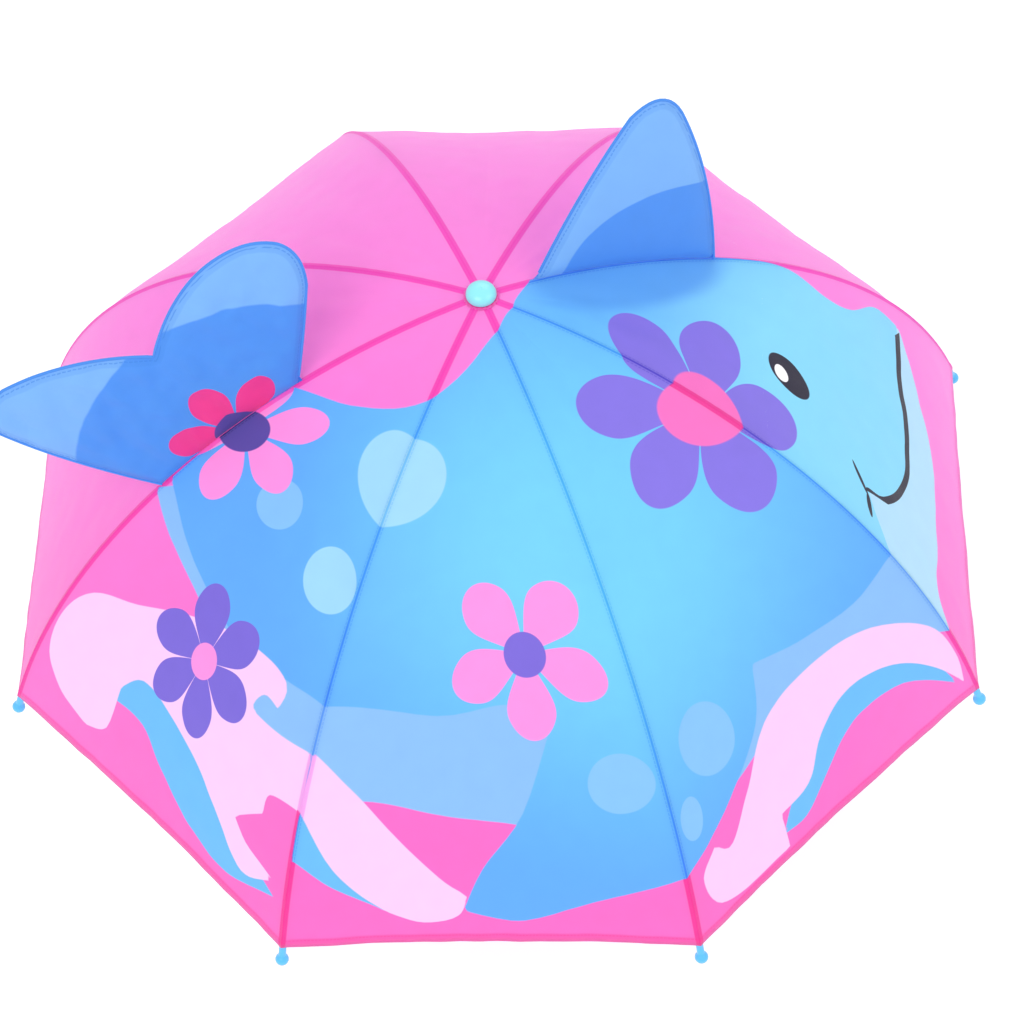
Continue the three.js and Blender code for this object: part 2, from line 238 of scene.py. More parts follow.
def buildOval():
    tree, given, gives = newGroup(
        "printOval",
        {"Place": "Vector", "Centre": "Vector", "Size": "Vector", "Tilt": "Float", "Softness": "Float"},
        {"Mask": "Float"},
    )
    spin = addNode(tree, "ShaderNodeVectorRotate", rotation_type="Z_AXIS")
    feed(tree, spin.inputs["Vector"], vectorCalc(tree, "SUBTRACT", given["Place"], given["Centre"]))
    feed(tree, spin.inputs["Angle"], calc(tree, "MULTIPLY", given["Tilt"], -1.0))
    reach = vectorCalc(tree, "LENGTH", vectorCalc(tree, "DIVIDE", spin.outputs[0], given["Size"]))
    low = calc(tree, "ADD", 1.0, given["Softness"])
    high = calc(tree, "SUBTRACT", 1.0, given["Softness"])
    feed(tree, gives["Mask"], fade(tree, reach, low, high))


def buildFlower():
    tree, given, gives = newGroup(
        "printFlower",
        {"Place": "Vector", "Centre": "Vector", "Petals": "Float", "Turn": "Float", "Reach": "Float",
         "Fullness": "Float", "Heart": "Float"},
        {"Petal": "Float", "Heart": "Float"},
    )
    offset = vectorCalc(tree, "SUBTRACT", given["Place"], given["Centre"])
    parts = addNode(tree, "ShaderNodeSeparateXYZ")
    feed(tree, parts.inputs[0], offset)
    away = vectorCalc(tree, "LENGTH", offset)
    angle = calc(tree, "ARCTAN2", parts.outputs[1], parts.outputs[0])
    share = calc(tree, "DIVIDE", 2 * math.pi, given["Petals"])
    half = calc(tree, "DIVIDE", share, 2.0)
    shifted = calc(tree, "ADD", calc(tree, "SUBTRACT", angle, given["Turn"]), half)
    folded = calc(tree, "SUBTRACT", calc(tree, "FLOORED_MODULO", shifted, share), half)
    forward = calc(tree, "DIVIDE", calc(tree, "MULTIPLY", away, calc(tree, "COSINE", folded)), given["Reach"])
    across = calc(tree, "DIVIDE", calc(tree, "MULTIPLY", away, calc(tree, "SINE", folded)), given["Reach"])
    # a petal is an oval that narrows towards the heart
    lengthwise = calc(tree, "DIVIDE", calc(tree, "SUBTRACT", forward, 0.55), 0.45)
    narrowing = calc(tree, "MULTIPLY", fade(tree, forward, 0.1, 0.75, 0.55, 1.0), given["Fullness"])
    sideways = calc(tree, "DIVIDE", across, narrowing)
    square = calc(tree, "ADD", calc(tree, "POWER", lengthwise, 2.0), calc(tree, "POWER", sideways, 2.0))
    feed(tree, gives["Petal"], fade(tree, square, 1.03, 0.97))
    edge = calc(tree, "DIVIDE", away, given["Heart"])
    feed(tree, gives["Heart"], fade(tree, edge, 1.03, 0.97))


def buildHandled():
    tree, given, gives = newGroup(
        "handledSurface",
        {"Scale": "Float", "Contrast": "Float"},
        {"Shade": "Float", "Roughness": "Float", "Height": "Float"},
    )
    place = addNode(tree, "ShaderNodeTexCoord").outputs["Object"]
    fine = addNode(tree, "ShaderNodeTexNoise")
    fine.inputs["Detail"].default_value = 4
    feed(tree, fine.inputs["Scale"], given["Scale"])
    feed(tree, fine.inputs["Vector"], place)
    broad = addNode(tree, "ShaderNodeTexNoise")
    broad.inputs["Scale"].default_value = 35
    feed(tree, broad.inputs["Vector"], place)
    swing = calc(tree, "MULTIPLY", calc(tree, "SUBTRACT", broad.outputs[0], 0.5), given["Contrast"])
    feed(tree, gives["Shade"], calc(tree, "ADD", 1.0, swing))
    feed(tree, gives["Roughness"], calc(tree, "MULTIPLY", swing, 0.8))
    feed(tree, gives["Height"], fine.outputs[0])


for build in (buildWeave, buildStitch, buildOval, buildFlower, buildHandled):
    build()

# ---- printed cloth ----
printed = {
    "pinkLow": "FF6CC8",
    "pinkHigh": "FF8CE4",
    "bodyBlue": "5FADFE",
    "bodyCyan": "73D3FC",
    "headCyan": "88DDFE",
    # shade: painted shadow of the dorsal fin on the head panel
    "shade": "5CA9F3",
    "belly": "8AC1FC",
    "jaw": "B3E3FC",
    "trail": "69BFFD",
    "swirl": "FDCFFA",
    "spot": "A0DCFC",
    "spotLow": "86C6FB",
    "line": "262238",
    "purple": "8676E4",
    "petalPink": "FF95E2",
    "heartPink": "FB74C6",
    "heartPurple": "7B69D8",
    "deepPurple": "5848A5",
    "hotPink": "FF3D9A",
}
ink = {name: dye(code) for name, code in printed.items()}

# Ovals on the flat cloth: centre x, y and half sizes in millimetres, tilt in degrees.
spots = [
    (-53, -125, 32, 29, 138),
    (-104, -187, 23, 20, 5),
]
lowSpots = [
    (-145, -134, 19, 17, 137),
    (101, -320, 25, 20, 42),
    (168, -287, 27, 23, 160),
    (156, -336, 15, 10, 112),
]
# Flowers: centre x, y, petals, turn of the first petal, reach, fullness, heart radius, two colours
flowers = [
    (145, -66, 6, 11, 81, 0.31, 27, "purple", "heartPink"),
    (31, -247, 5, -10, 57, 0.33, 15, "petalPink", "heartPurple"),
    (-222, -228, 6, 8, 55, 0.31, 13, "heartPurple", "petalPink"),
]


def inkOval(tree, place, below, above, x, y, long, short, tilt, softness=0.02, limit=None):
    mask = useGroup(
        tree, "printOval", Place=place, Centre=(x * 0.001, y * 0.001, 0),
        Size=(long * 0.001, short * 0.001, 1), Tilt=math.radians(tilt), Softness=softness,
    )["Mask"]
    if limit is not None:
        mask = calc(tree, "MULTIPLY", mask, limit)
    return blendColour(tree, mask, below, above)


def inkFlower(tree, place, below, x, y, petals, turn, reach, fullness, heart, petalInk, heartInk, limit=None):
    masks = useGroup(
        tree, "printFlower", Place=place, Centre=(x * 0.001, y * 0.001, 0), Petals=float(petals),
        Turn=math.radians(turn), Reach=reach * 0.001, Fullness=fullness, Heart=heart * 0.001,
    )
    petal, centre = masks["Petal"], masks["Heart"]
    if limit is not None:
        petal = calc(tree, "MULTIPLY", petal, limit)
        centre = calc(tree, "MULTIPLY", centre, limit)
    return blendColour(tree, centre, blendColour(tree, petal, below, ink[petalInk]), ink[heartInk])


def inside(tree, name):
    return fade(tree, attribute(tree, name), -0.0004, 0.0004, smooth=False)


def clothShader(tree, shader, colour, place, throughShare):
    # thin cloth: part of the light that falls on one face comes out of the other
    weave = useGroup(tree, "wovenThread", Place=place, Pitch=0.0009)
    tinted = blendColour(tree, 1.0, colour, weave["Shade"], "MULTIPLY")
    feed(tree, shader.inputs["Base Color"], tinted)
    feed(tree, shader.inputs["Roughness"], fade(tree, weave["Height"], -0.6, 1.6, 0.46, 0.62, smooth=False))
    raiseSurface(tree, shader, weave["Height"], 0.00006, 0.5)
    through = addNode(tree, "ShaderNodeBsdfTranslucent")
    feed(tree, through.inputs["Color"], tinted)
    mixed = addNode(tree, "ShaderNodeMixShader")
    mixed.inputs[0].default_value = throughShare
    tree.links.new(shader.outputs[0], mixed.inputs[1])
    tree.links.new(through.outputs[0], mixed.inputs[2])
    tree.links.new(mixed.outputs[0], tree.nodes["Material Output"].inputs["Surface"])


def canopyMaterial():
    material, tree, shader = newMaterial(
        "printedPolyester", **{"Sheen Weight": 0.18, "Sheen Roughness": 0.4, "Specular IOR Level": 0.4}
    )
    place = attribute(tree, "printPlace", "Vector")
    parts = addNode(tree, "ShaderNodeSeparateXYZ")
    feed(tree, parts.inputs[0], place)
    x, y = parts.outputs[0], parts.outputs[1]
    headPanel = attribute(tree, "headPanel")

    # painted light: the base pink runs from deeper at low y to paler at high y, standing in for the light
    # falling more brightly on the far panels
    colour = blendColour(tree, fade(tree, y, -0.42, 0.25), ink["pinkLow"], ink["pinkHigh"])
    under = blendColour(tree, headPanel, ink["belly"], ink["jaw"])
    colour = blendColour(tree, inside(tree, "bellyEdge"), colour, under)

    glow = fade(tree, vectorCalc(tree, "DISTANCE", place, (0.075, -0.170, 0)), 0.25, 0.03)
    body = blendColour(tree, glow, ink["bodyBlue"], ink["bodyCyan"])
    headGlow = fade(tree, vectorCalc(tree, "DISTANCE", place, (0.30, 0.0, 0)), 0.26, 0.08)
    body = blendColour(tree, calc(tree, "MULTIPLY", headGlow, headPanel), body, ink["headCyan"])
    # painted shadow: a soft darker oval on the head panel below the dorsal fin
    body = inkOval(tree, place, body, ink["shade"], 96, 40, 70, 36, 22.5, 0.2, headPanel)
    colour = blendColour(tree, inside(tree, "bodyEdge"), colour, body)

    for spot in spots:
        colour = inkOval(tree, place, colour, ink["spot"], *spot)
    for spot in lowSpots:
        colour = inkOval(tree, place, colour, ink["spotLow"], *spot)
    colour = blendColour(tree, inside(tree, "trailEdge"), colour, ink["trail"])
    colour = blendColour(tree, inside(tree, "swirlEdge"), colour, ink["swirl"])

    # the smile is the edge between body and jaw, thicker at its low end
    smileWidth = fade(tree, y, 0.05, -0.05, 0.0034, 0.0029)
    onEdge = calc(tree, "LESS_THAN", calc(tree, "ABSOLUTE", attribute(tree, "bodyEdge")), smileWidth)
    leaning = calc(tree, "MULTIPLY", calc(tree, "MAXIMUM", y, 0.0), 0.6)
    ahead = calc(tree, "GREATER_THAN", calc(tree, "SUBTRACT", x, leaning), 0.268)
    between = calc(tree, "MULTIPLY", calc(tree, "GREATER_THAN", y, -0.080), calc(tree, "LESS_THAN", y, 0.112))
    smile = calc(tree, "MULTIPLY", calc(tree, "MULTIPLY", onEdge, ahead), between)
    colour = blendColour(tree, smile, colour, ink["line"])
    colour = inkOval(tree, place, colour, ink["line"], 283.5, -71.5, 13.5, 1.7, 109.5, 0.05)
    colour = inkOval(tree, place, colour, ink["line"], 286, -91, 9.5, 2.3, 81, 0.05)
    colour = inkOval(tree, place, colour, ink["line"], 228, -10, 20.5, 13.3, 138)
    colour = inkOval(tree, place, colour, (1.0, 1.0, 1.0, 1.0), 221, -11, 7.5, 5.5, 110)

    for flower in flowers:
        colour = inkFlower(tree, place, colour, *flower)
    belowTail = calc(tree, "GREATER_THAN", vectorCalc(tree, "DOT_PRODUCT", place, (0.3827, -0.9239, 0)), 0.0)
    colour = inkFlower(
        tree, place, colour, -159, -73.5, 6, -12, 55, 0.27, 16, "petalPink", "deepPurple", belowTail
    )

    # seams and hem are folded cloth; their deeper colour is painted shade, where the doubled cloth lets less
    # light through and, along the seams, the rib's shadow shows through
    seamGap, hemGap = attribute(tree, "seamGap"), attribute(tree, "hemGap")
    deeper = blendColour(tree, 1.0, colour, colour, "MULTIPLY")
    channels = addNode(tree, "ShaderNodeSeparateColor")
    feed(tree, channels.inputs[0], colour)
    pinkness = fade(tree, channels.outputs["Red"], 0.3, 0.8, 0.04, 0.85)
    folded = calc(
        tree, "MAXIMUM", calc(tree, "MULTIPLY", fade(tree, seamGap, 0.0031, 0.0024), pinkness),
        fade(tree, hemGap, 0.0072, 0.0064, 0, 0.25),
    )
    colour = blendColour(tree, folded, colour, deeper)
    along = vectorCalc(tree, "LENGTH", place)
    seamStitch = useGroup(tree, "stitchLine", Gap=seamGap, Offset=0.0017, Along=along, Pitch=0.0028)["Mask"]
    hemStitch = useGroup(
        tree, "stitchLine", Gap=hemGap, Offset=0.0055,
        Along=calc(tree, "MULTIPLY", calc(tree, "ARCTAN2", y, x), 0.45), Pitch=0.003,
    )["Mask"]
    # painted shade in the crease down the middle of each seam, darkened together with the thread stitches
    creaseShade = calc(tree, "MULTIPLY", fade(tree, seamGap, 0.0011, 0.0004), 2.0)
    mark = calc(tree, "MAXIMUM", calc(tree, "MAXIMUM", seamStitch, hemStitch), creaseShade)
    colour = blendColour(tree, calc(tree, "MULTIPLY", mark, 0.4), colour, deeper)
    # the dye shows paler on the underside
    underside = addNode(tree, "ShaderNodeNewGeometry").outputs["Backfacing"]
    colour = blendColour(tree, calc(tree, "MULTIPLY", underside, 0.2), colour, (1, 1, 1, 1))
    clothShader(tree, shader, colour, place, 0.22)
    return material


canopyCloth = canopyMaterial()
print("printed cloth made")

# Outlines of the print on the flat cloth, in millimetres from the shaft. A third value marks a corner.
printShapes = {
    "bodyEdge": [
        [(-215, -90, 1), (-122, -50, 1), (-90, -74), (-50, -80), (-15, -62), (10, -28), (31, 15, 1),
         (154, 66, 1),
         (212, 85), (252, 82), (279, 88), (301, 110), (330, 115, 1), (342, 72), (355, 20), (351, -30),
         (333, -61), (308, -79), (289, -79, 1), (296, -123, 1), (283, -170), (245, -212), (207, -236, 1),
         (214, -275), (195, -325), (155, -374), (100, -410), (30, -438), (-22, -430, 1), (-4, -398),
         (30, -355), (52, -285, 1), (20, -281), (-35, -287), (-108, -260), (-150, -245), (-190, -217),
         (-212, -175), (-219, -135)],
    ],
    "bellyEdge": [
        [(-227, -92, 1), (-230, -128), (-220, -180), (-190, -250), (-135, -318), (-87, -336), (-30, -357),
         (30, -364), (130, -370), (205, -310), (245, -250), (290, -200), (350, -165), (370, -152, 1),
         (365, -120), (386, -70), (395, 10), (371, 70), (333, 114, 1), (100, 0, 1), (40, -70, 1),
         (-60, -120, 1), (-150, -115, 1)],
    ],
    "swirlEdge": [
        [(-366, -165), (-335, -145), (-303, -145), (-270, -170), (-225, -195), (-172, -226), (-143, -250),
         (-152, -266, 1), (-165, -257), (-177, -266), (-150, -282), (-120, -290, 1), (-137, -327, 1),
         (-165, -320), (-175, -333, 1), (-208, -336, 1), (-198, -356), (-172, -378, 1), (-210, -376),
         (-228, -340), (-243, -300), (-262, -262), (-284, -226), (-309, -222, 1), (-340, -245),
         (-363, -233, 1),
         (-374, -198)],
        [(-119, -289, 1), (-100, -322), (-70, -368), (-38, -404), (-18, -418, 1), (-27, -434), (-58, -436),
         (-92, -418), (-122, -379), (-136, -326, 1)],
        [(408, -180, 1), (385, -165), (350, -158), (303, -181), (260, -225), (222, -275), (212, -320),
         (200, -358), (181, -357, 1), (172, -378), (192, -398), (225, -390), (268, -360, 1), (252, -337, 1),
         (278, -310), (282, -270), (300, -230), (335, -198), (372, -184)],
    ],
    "trailEdge": [
        [(-322, -226, 1), (-297, -257), (-288, -295), (-268, -343), (-230, -378), (-175, -390, 1),
         (-212, -345), (-235, -290), (-262, -240), (-300, -205, 1)],
        [(-120, -305, 1), (-137, -330, 1), (-149, -360, 1), (-126, -391), (-86, -423, 1), (-95, -380, 1)],
        [(402, -184, 1), (350, -208), (312, -253), (297, -297), (283, -333), (258, -352, 1), (265, -310),
         (278, -255), (305, -205), (345, -180)],
    ],
}


def smoothRun(points, steps):
    # a Catmull-Rom curve through the points, without the last one
    knots = np.array([points[0]] + points + [points[-1]], float)
    t = np.linspace(0, 1, steps, endpoint=False)[:, None]
    runs = []
    for a, b, c, d in zip(knots, knots[1:], knots[2:], knots[3:]):
        runs.append(
            0.5 * (2 * b + (c - a) * t + (2 * a - 5 * b + 4 * c - d) * t**2 + (3 * b - a - 3 * c + d) * t**3)
        )
    return np.concatenate(runs)


def smoothLoop(points, steps=5):
    corners = [i for i, point in enumerate(points) if len(point) > 2]
    flat = [point[:2] for point in points]
    if not corners:
        closed = flat[-1:] + flat + flat[:2]
        return smoothRun(closed, steps)[steps : -2 * steps]
    turned = flat[corners[0] :] + flat[: corners[0]]
    marks = [i - corners[0] for i in corners] + [len(flat)]
    turned.append(turned[0])
    return np.concatenate([smoothRun(turned[a : b + 1], steps) for a, b in zip(marks, marks[1:])])


def edgeDistance(points, loop):
    # signed distance to a closed outline, positive inside it
    best = np.full(len(points), 1e9)
    within = np.zeros(len(points), bool)
    ends = np.roll(loop, -1, axis=0)
    for start, end in zip(loop, ends):
        run = end - start
        size = run @ run
        if size < 1e-12:
            continue
        t = np.clip(((points - start) @ run) / size, 0, 1)
        away = points - start - t[:, None] * run
        best = np.minimum(best, np.einsum("ij,ij->i", away, away))
        if start[1] != end[1]:
            crosses = (start[1] > points[:, 1]) != (end[1] > points[:, 1])
            meets = start[0] + (points[:, 1] - start[1]) * run[0] / run[1]
            within ^= crosses & (points[:, 0] < meets)
    return np.where(within, 1, -1) * np.sqrt(best)


printLoops = {name: [smoothLoop(points) * 0.001 for points in loops] for name, loops in printShapes.items()}


# ---- meshes ----
def newPiece(name, verts, faces, *materials):
    mesh = bpy.data.meshes.new(name)
    mesh.from_pydata([tuple(v) for v in verts], [], faces)
    mesh.polygons.foreach_set("use_smooth", np.ones(len(faces), bool))
    for material in materials:
        mesh.materials.append(material)
    mesh.update()
    piece = bpy.data.objects.new(name, mesh)
    bpy.context.scene.collection.objects.link(piece)
    return piece


def setValues(piece, name, values, kind="FLOAT"):
    layer = piece.data.attributes.new(name, kind, "POINT")
    field = "vector" if kind == "FLOAT_VECTOR" else "value"
    layer.data.foreach_set(field, np.asarray(values, np.float32).ravel())


def gridFaces(rows, columns, flip):
    faces = []
    for i in range(rows):
        for j in range(columns):
            a = i * (columns + 1) + j
            face = (a, a + columns + 1, a + columns + 2, a + 1)
            faces.append(face[::-1] if flip else face)
    return faces


# ---- canopy: on each rib, half a panel to either side, in two lengths that meet at the rib's flex ----
canopy = {
    "grid": 0.0042,
    "hemCurve": 0.005,  # the hem draws in between two ribs
    "sag": 0.0022,
    "foldSize": 0.0011,
    "wrinkleSize": 0.0005,
    "seamRidge": 0.00035,
    "hemFold": 0.00035,
    "hemWidth": 0.0068,
    "hemDrop": 0.0006,
    "clear": 0.0002,
}


def clothHalf(number, length, side):
    start = umbrella["clothStart"] if length == "inner" else umbrella["flexAt"]
    end = umbrella["flexAt"] if length == "inner" else umbrella["hem"]
    widest = domePoint(end)[0] * math.sin(halfTurn)
    rows = round((end - start) / canopy["grid"])
    columns = round(widest / canopy["grid"])
    down, drop = np.linspace(0, 1, rows + 1), np.zeros(rows + 1)
    if length == "outer":  # the hem turns under
        turned = np.array([0, 0.5, 1]) * canopy["hemWidth"] / (end - start)
        down, drop = np.append(down, 1 - turned), np.append(drop, [canopy["hemDrop"]] * 3)
    v, t = np.meshgrid(down, np.linspace(0, 1, columns + 1) ** 1.15, indexing="ij")
    hemLine = umbrella["hem"] - canopy["hemCurve"] * (1 - (1 - t) ** 2)
    along = start + ((hemLine if length == "outer" else end) - start) * v
    radius, height = domePoint(along, -canopy["clear"])
    slope = slopeAt(along)
    seamGap = t * radius * math.sin(halfTurn)
    x = radius * (1 - t * math.sin(halfTurn) ** 2)
    y = side * seamGap * math.cos(halfTurn)
    azimuth = ribAngle(number) + np.arctan2(y, x)
    place = np.stack([along * np.cos(azimuth), along * np.sin(azimuth), 0 * along], -1)

    panel = np.stack([
        np.sin(slope) * math.cos(halfTurn), side * np.sin(slope) * math.sin(halfTurn),
        np.cos(slope) * math.cos(halfTurn),
    ], -1)
    panel /= np.linalg.norm(panel, axis=-1, keepdims=True)
    crest = np.stack([np.sin(slope), 0 * slope, np.cos(slope)], -1)
    share = easeStep(0, 0.006, seamGap)[..., None]
    normal = crest * (1 - share) + panel * share
    normal /= np.linalg.norm(normal, axis=-1, keepdims=True)

    whole = (along - umbrella["clothStart"]) / (umbrella["hem"] - umbrella["clothStart"])
    hemGap = hemLine - along
    spots3d = np.stack([7 * np.cos(azimuth), 7 * np.sin(azimuth), along * 9], -1).reshape(-1, 3)
    folds = np.array([noise.noise(Vector(p)) for p in spots3d]).reshape(along.shape)
    wrinkles = np.array([noise.noise(Vector(p * 55)) for p in place.reshape(-1, 3)]).reshape(along.shape)
    clearOfSeam = easeStep(0.0, 0.025, seamGap)
    pucker = np.sin(along / 0.0011) * np.exp(-seamGap / 0.007) * easeStep(0.0005, 0.003, seamGap)
    relief = (
        -canopy["sag"] * np.sin(0.5 * math.pi * t) ** 2 * np.sin(math.pi * np.clip(whole, 0, 1))
        + canopy["foldSize"] * folds * clearOfSeam
        + canopy["wrinkleSize"] * wrinkles * clearOfSeam
        + canopy["seamRidge"] * np.exp(-((seamGap / 0.0022) ** 2))
        + 0.00012 * pucker
        + canopy["hemFold"] * easeStep(canopy["hemWidth"] + 0.001, canopy["hemWidth"] - 0.001, hemGap)
    )
    relief -= drop[:, None]
    points = (np.stack([x, y, height], -1) + normal * relief[..., None]).reshape(-1, 3)
    turn = np.array(Matrix.Rotation(ribAngle(number), 3, "Z"))
    faces = gridFaces(len(down) - 1, columns, side < 0)
    sideName = "left" if side > 0 else "right"
    piece = newPiece(f"canopy_{number}_{length}_{sideName}", points @ turn.T, faces, canopyCloth)

    flat = place.reshape(-1, 3)
    setValues(piece, "printPlace", flat, "FLOAT_VECTOR")
    setValues(piece, "seamGap", seamGap.ravel())
    setValues(piece, "hemGap", hemGap.ravel())
    inHead = (number == 8 and side > 0) or (number == 1 and side < 0)
    setValues(piece, "headPanel", np.full(len(flat), float(inHead)))
    for name, loops in printLoops.items():
        setValues(piece, name, np.max([edgeDistance(flat[:, :2], loop) for loop in loops], axis=0))

    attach(piece, f"rib_{length}_{number}")
    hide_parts(f"canopy_gore_{number}")
    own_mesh(piece)

    return piece


for number in ribNumbers:
    for length in ("inner", "outer"):
        for side in (1, -1):
            clothHalf(number, length, side)
print("canopy made")

# ---- padded fin and tail ----
# An outline stands on its seam. Each of its curves is a control point and an end, as [along the base,
# height above it] in millimetres. The dark oval is its centre and half sizes.
padded = {
    "dorsal_fin": {
        "rib": 1,
        "base": (0.034, 0.166),
        "curves": [(118, 66, 86, 113), (70, 134, 50, 112), (23, 64, 3, 3)],
        "lean": math.radians(15),
        "thickness": 0.0042,
        "rise": 0.022,
        "grid": 0.0035,
        "dark": (104, 0, 84, 62),
    },
    "tail_fluke": {
        "rib": 5,
        "base": (0.124, 0.240),
        "curves": [(147, 62, 159, 108), (159, 130, 135, 130), (87, 120, 53, 84), (19, 112, -14, 113),
                   (-42, 113, -54, 95), (-62, 80, -48, 58), (-26, 32, 2, 3)],
        "lean": math.radians(-15),
        "thickness": 0.004,
        "rise": 0.02,
        "grid": 0.0035,
        "dark": (54, 0, 106, 96),
    },
}
padCloth = {
    "seamHeight": 0.0009,  # of the base above the canopy's seam
    "swell": 0.0011,
    "sway": 0.0016,
    "tuckPitch": 0.0075,
    "tuckDepth": 0.0011,
    "tuckLength": 0.012,
    "piping": 0.0010,
}
padInks = {"light": dye("86C2FE"), "dark": dye("559FF8"), "edge": dye("3F8BE8")}


def padMaterial(name, dark, flower=None):
    material, tree, shader = newMaterial(
        name, **{"Sheen Weight": 0.18, "Sheen Roughness": 0.4, "Specular IOR Level": 0.4}
    )
    place = attribute(tree, "padPlace", "Vector")
    edgeGap = attribute(tree, "edgeGap")
    x, y, long, tall = (value * 0.001 for value in dark)
    zone = useGroup(
        tree, "printOval", Place=place, Centre=(x, y, 0), Size=(long, tall, 1), Tilt=0.0, Softness=0.01
    )
    colour = blendColour(tree, zone["Mask"], padInks["light"], padInks["dark"])
    if flower:
        colour = inkFlower(tree, place, colour, *flower)
    # the turned-in cloth shows through along the sewn edge: a painted shade band, darker where the doubled
    # cloth lets less light through
    colour = blendColour(tree, fade(tree, edgeGap, 0.0058, 0.0048, 0, 0.2), colour, padInks["edge"])
    stitch = useGroup(
        tree, "stitchLine", Gap=edgeGap, Offset=0.0024, Along=vectorCalc(tree, "LENGTH", place), Pitch=0.003
    )["Mask"]
    colour = blendColour(tree, calc(tree, "MULTIPLY", stitch, 0.6), colour, padInks["edge"])
    clothShader(tree, shader, colour, place, 0.2)
    return material


def sweep(path, radius, sides, across, taper=None):
    # a round bar along a path that lies square to `across`; taper scales its radius point by point
    path = [Vector(p) for p in path]
    verts, faces = [], []
    for i, p in enumerate(path):
        heading = (path[min(i + 1, len(path) - 1)] - path[max(i - 1, 0)]).normalized()
        level = across.cross(heading).normalized()
        size = radius * (taper[i] if taper else 1)
        for k in range(sides):
            turn = 2 * math.pi * k / sides
            verts.append(p + (across * math.cos(turn) + level * math.sin(turn)) * size)
    for i in range(len(path) - 1):
        for k in range(sides):
            a, b = i * sides + k, i * sides + (k + 1) % sides
            faces.append((a, b, b + sides, a + sides))
    faces.append(tuple(range(sides))[::-1])
    faces.append(tuple(range((len(path) - 1) * sides, len(path) * sides)))
    return verts, faces


def cleanEdges(piece, angle=40):
    # faces out, and a hard edge wherever two faces meet at more than the angle
    mesh = bmesh.new()
    mesh.from_mesh(piece.data)
    bmesh.ops.recalc_face_normals(mesh, faces=mesh.faces)
    for edge in mesh.edges:
        edge.smooth = edge.is_manifold and edge.calc_face_angle(0) < math.radians(angle)
    for face in mesh.faces:
        face.smooth = True
    mesh.to_mesh(piece.data)
    mesh.free()
    return piece


def gatherParts(parts):
    verts, faces = [], []
    for someVerts, someFaces in parts:
        offset = len(verts)
        verts += [Vector(v) for v in someVerts]
        faces += [tuple(i + offset for i in face) for face in someFaces]
    return verts, faces


def padFrame(pad):
    # where the outline stands: its origin, the ways along and up from its base, and the base's length
    start, end = (Vector((domePoint(s)[0], 0, domePoint(s)[1])) for s in pad["base"])
    along = (end - start).normalized()
    up = Vector((-along.z, 0, along.x))
    return start, along, up, (end - start).length


def archHeight(a, baseLength):
    # height of the seam above the chord of the base
    share = min(max(a / baseLength, 0), 1)
    return share * (1 - share) * baseLength**2 / (2 * umbrella["domeRadius"]) + padCloth["seamHeight"]


def padOutline(pad, baseLength):
    # points round the pad, and the number of those that lie on its base
    steps = round(baseLength / pad["grid"])
    alongBase = [baseLength * i / steps for i in range(steps)]
    outline = [(a, archHeight(a, baseLength)) for a in alongBase]
    pen = (baseLength, archHeight(baseLength, baseLength))
    for controlX, controlY, endX, endY in pad["curves"]:
        control, end = (controlX * 0.001, controlY * 0.001), (endX * 0.001, endY * 0.001)
        count = max(4, round(math.dist(pen, end) / pad["grid"]))
        for i in range(count):
            t = i / count
            outline.append(tuple(
                (1 - t) ** 2 * p + 2 * t * (1 - t) * c + t * t * e for p, c, e in zip(pen, control, end)
            ))
        pen = end
    return np.array(outline), steps


def fillOutline(pad, loop):
    # a triangle net over the outline, with its points and faces
    low, high = loop.min(0), loop.max(0)
    inner = np.stack(
        np.meshgrid(np.arange(low[0], high[0], pad["grid"]), np.arange(low[1], high[1], pad["grid"])), -1
    ).reshape(-1, 2)
    inner[:, 0] += np.where(np.round((inner[:, 1] - low[1]) / pad["grid"]) % 2, pad["grid"] / 2, 0)
    inner = inner[edgeDistance(inner, loop) > pad["grid"] * 0.6]
    flat = [Vector(p) for p in np.concatenate([loop, inner])]
    edges = [(i, (i + 1) % len(loop)) for i in range(len(loop))]
    points, _, faces, *_ = geometry.delaunay_2d_cdt(flat, edges, [], 1, 1e-7)
    return np.array([tuple(p) for p in points]), [tuple(face) for face in faces]


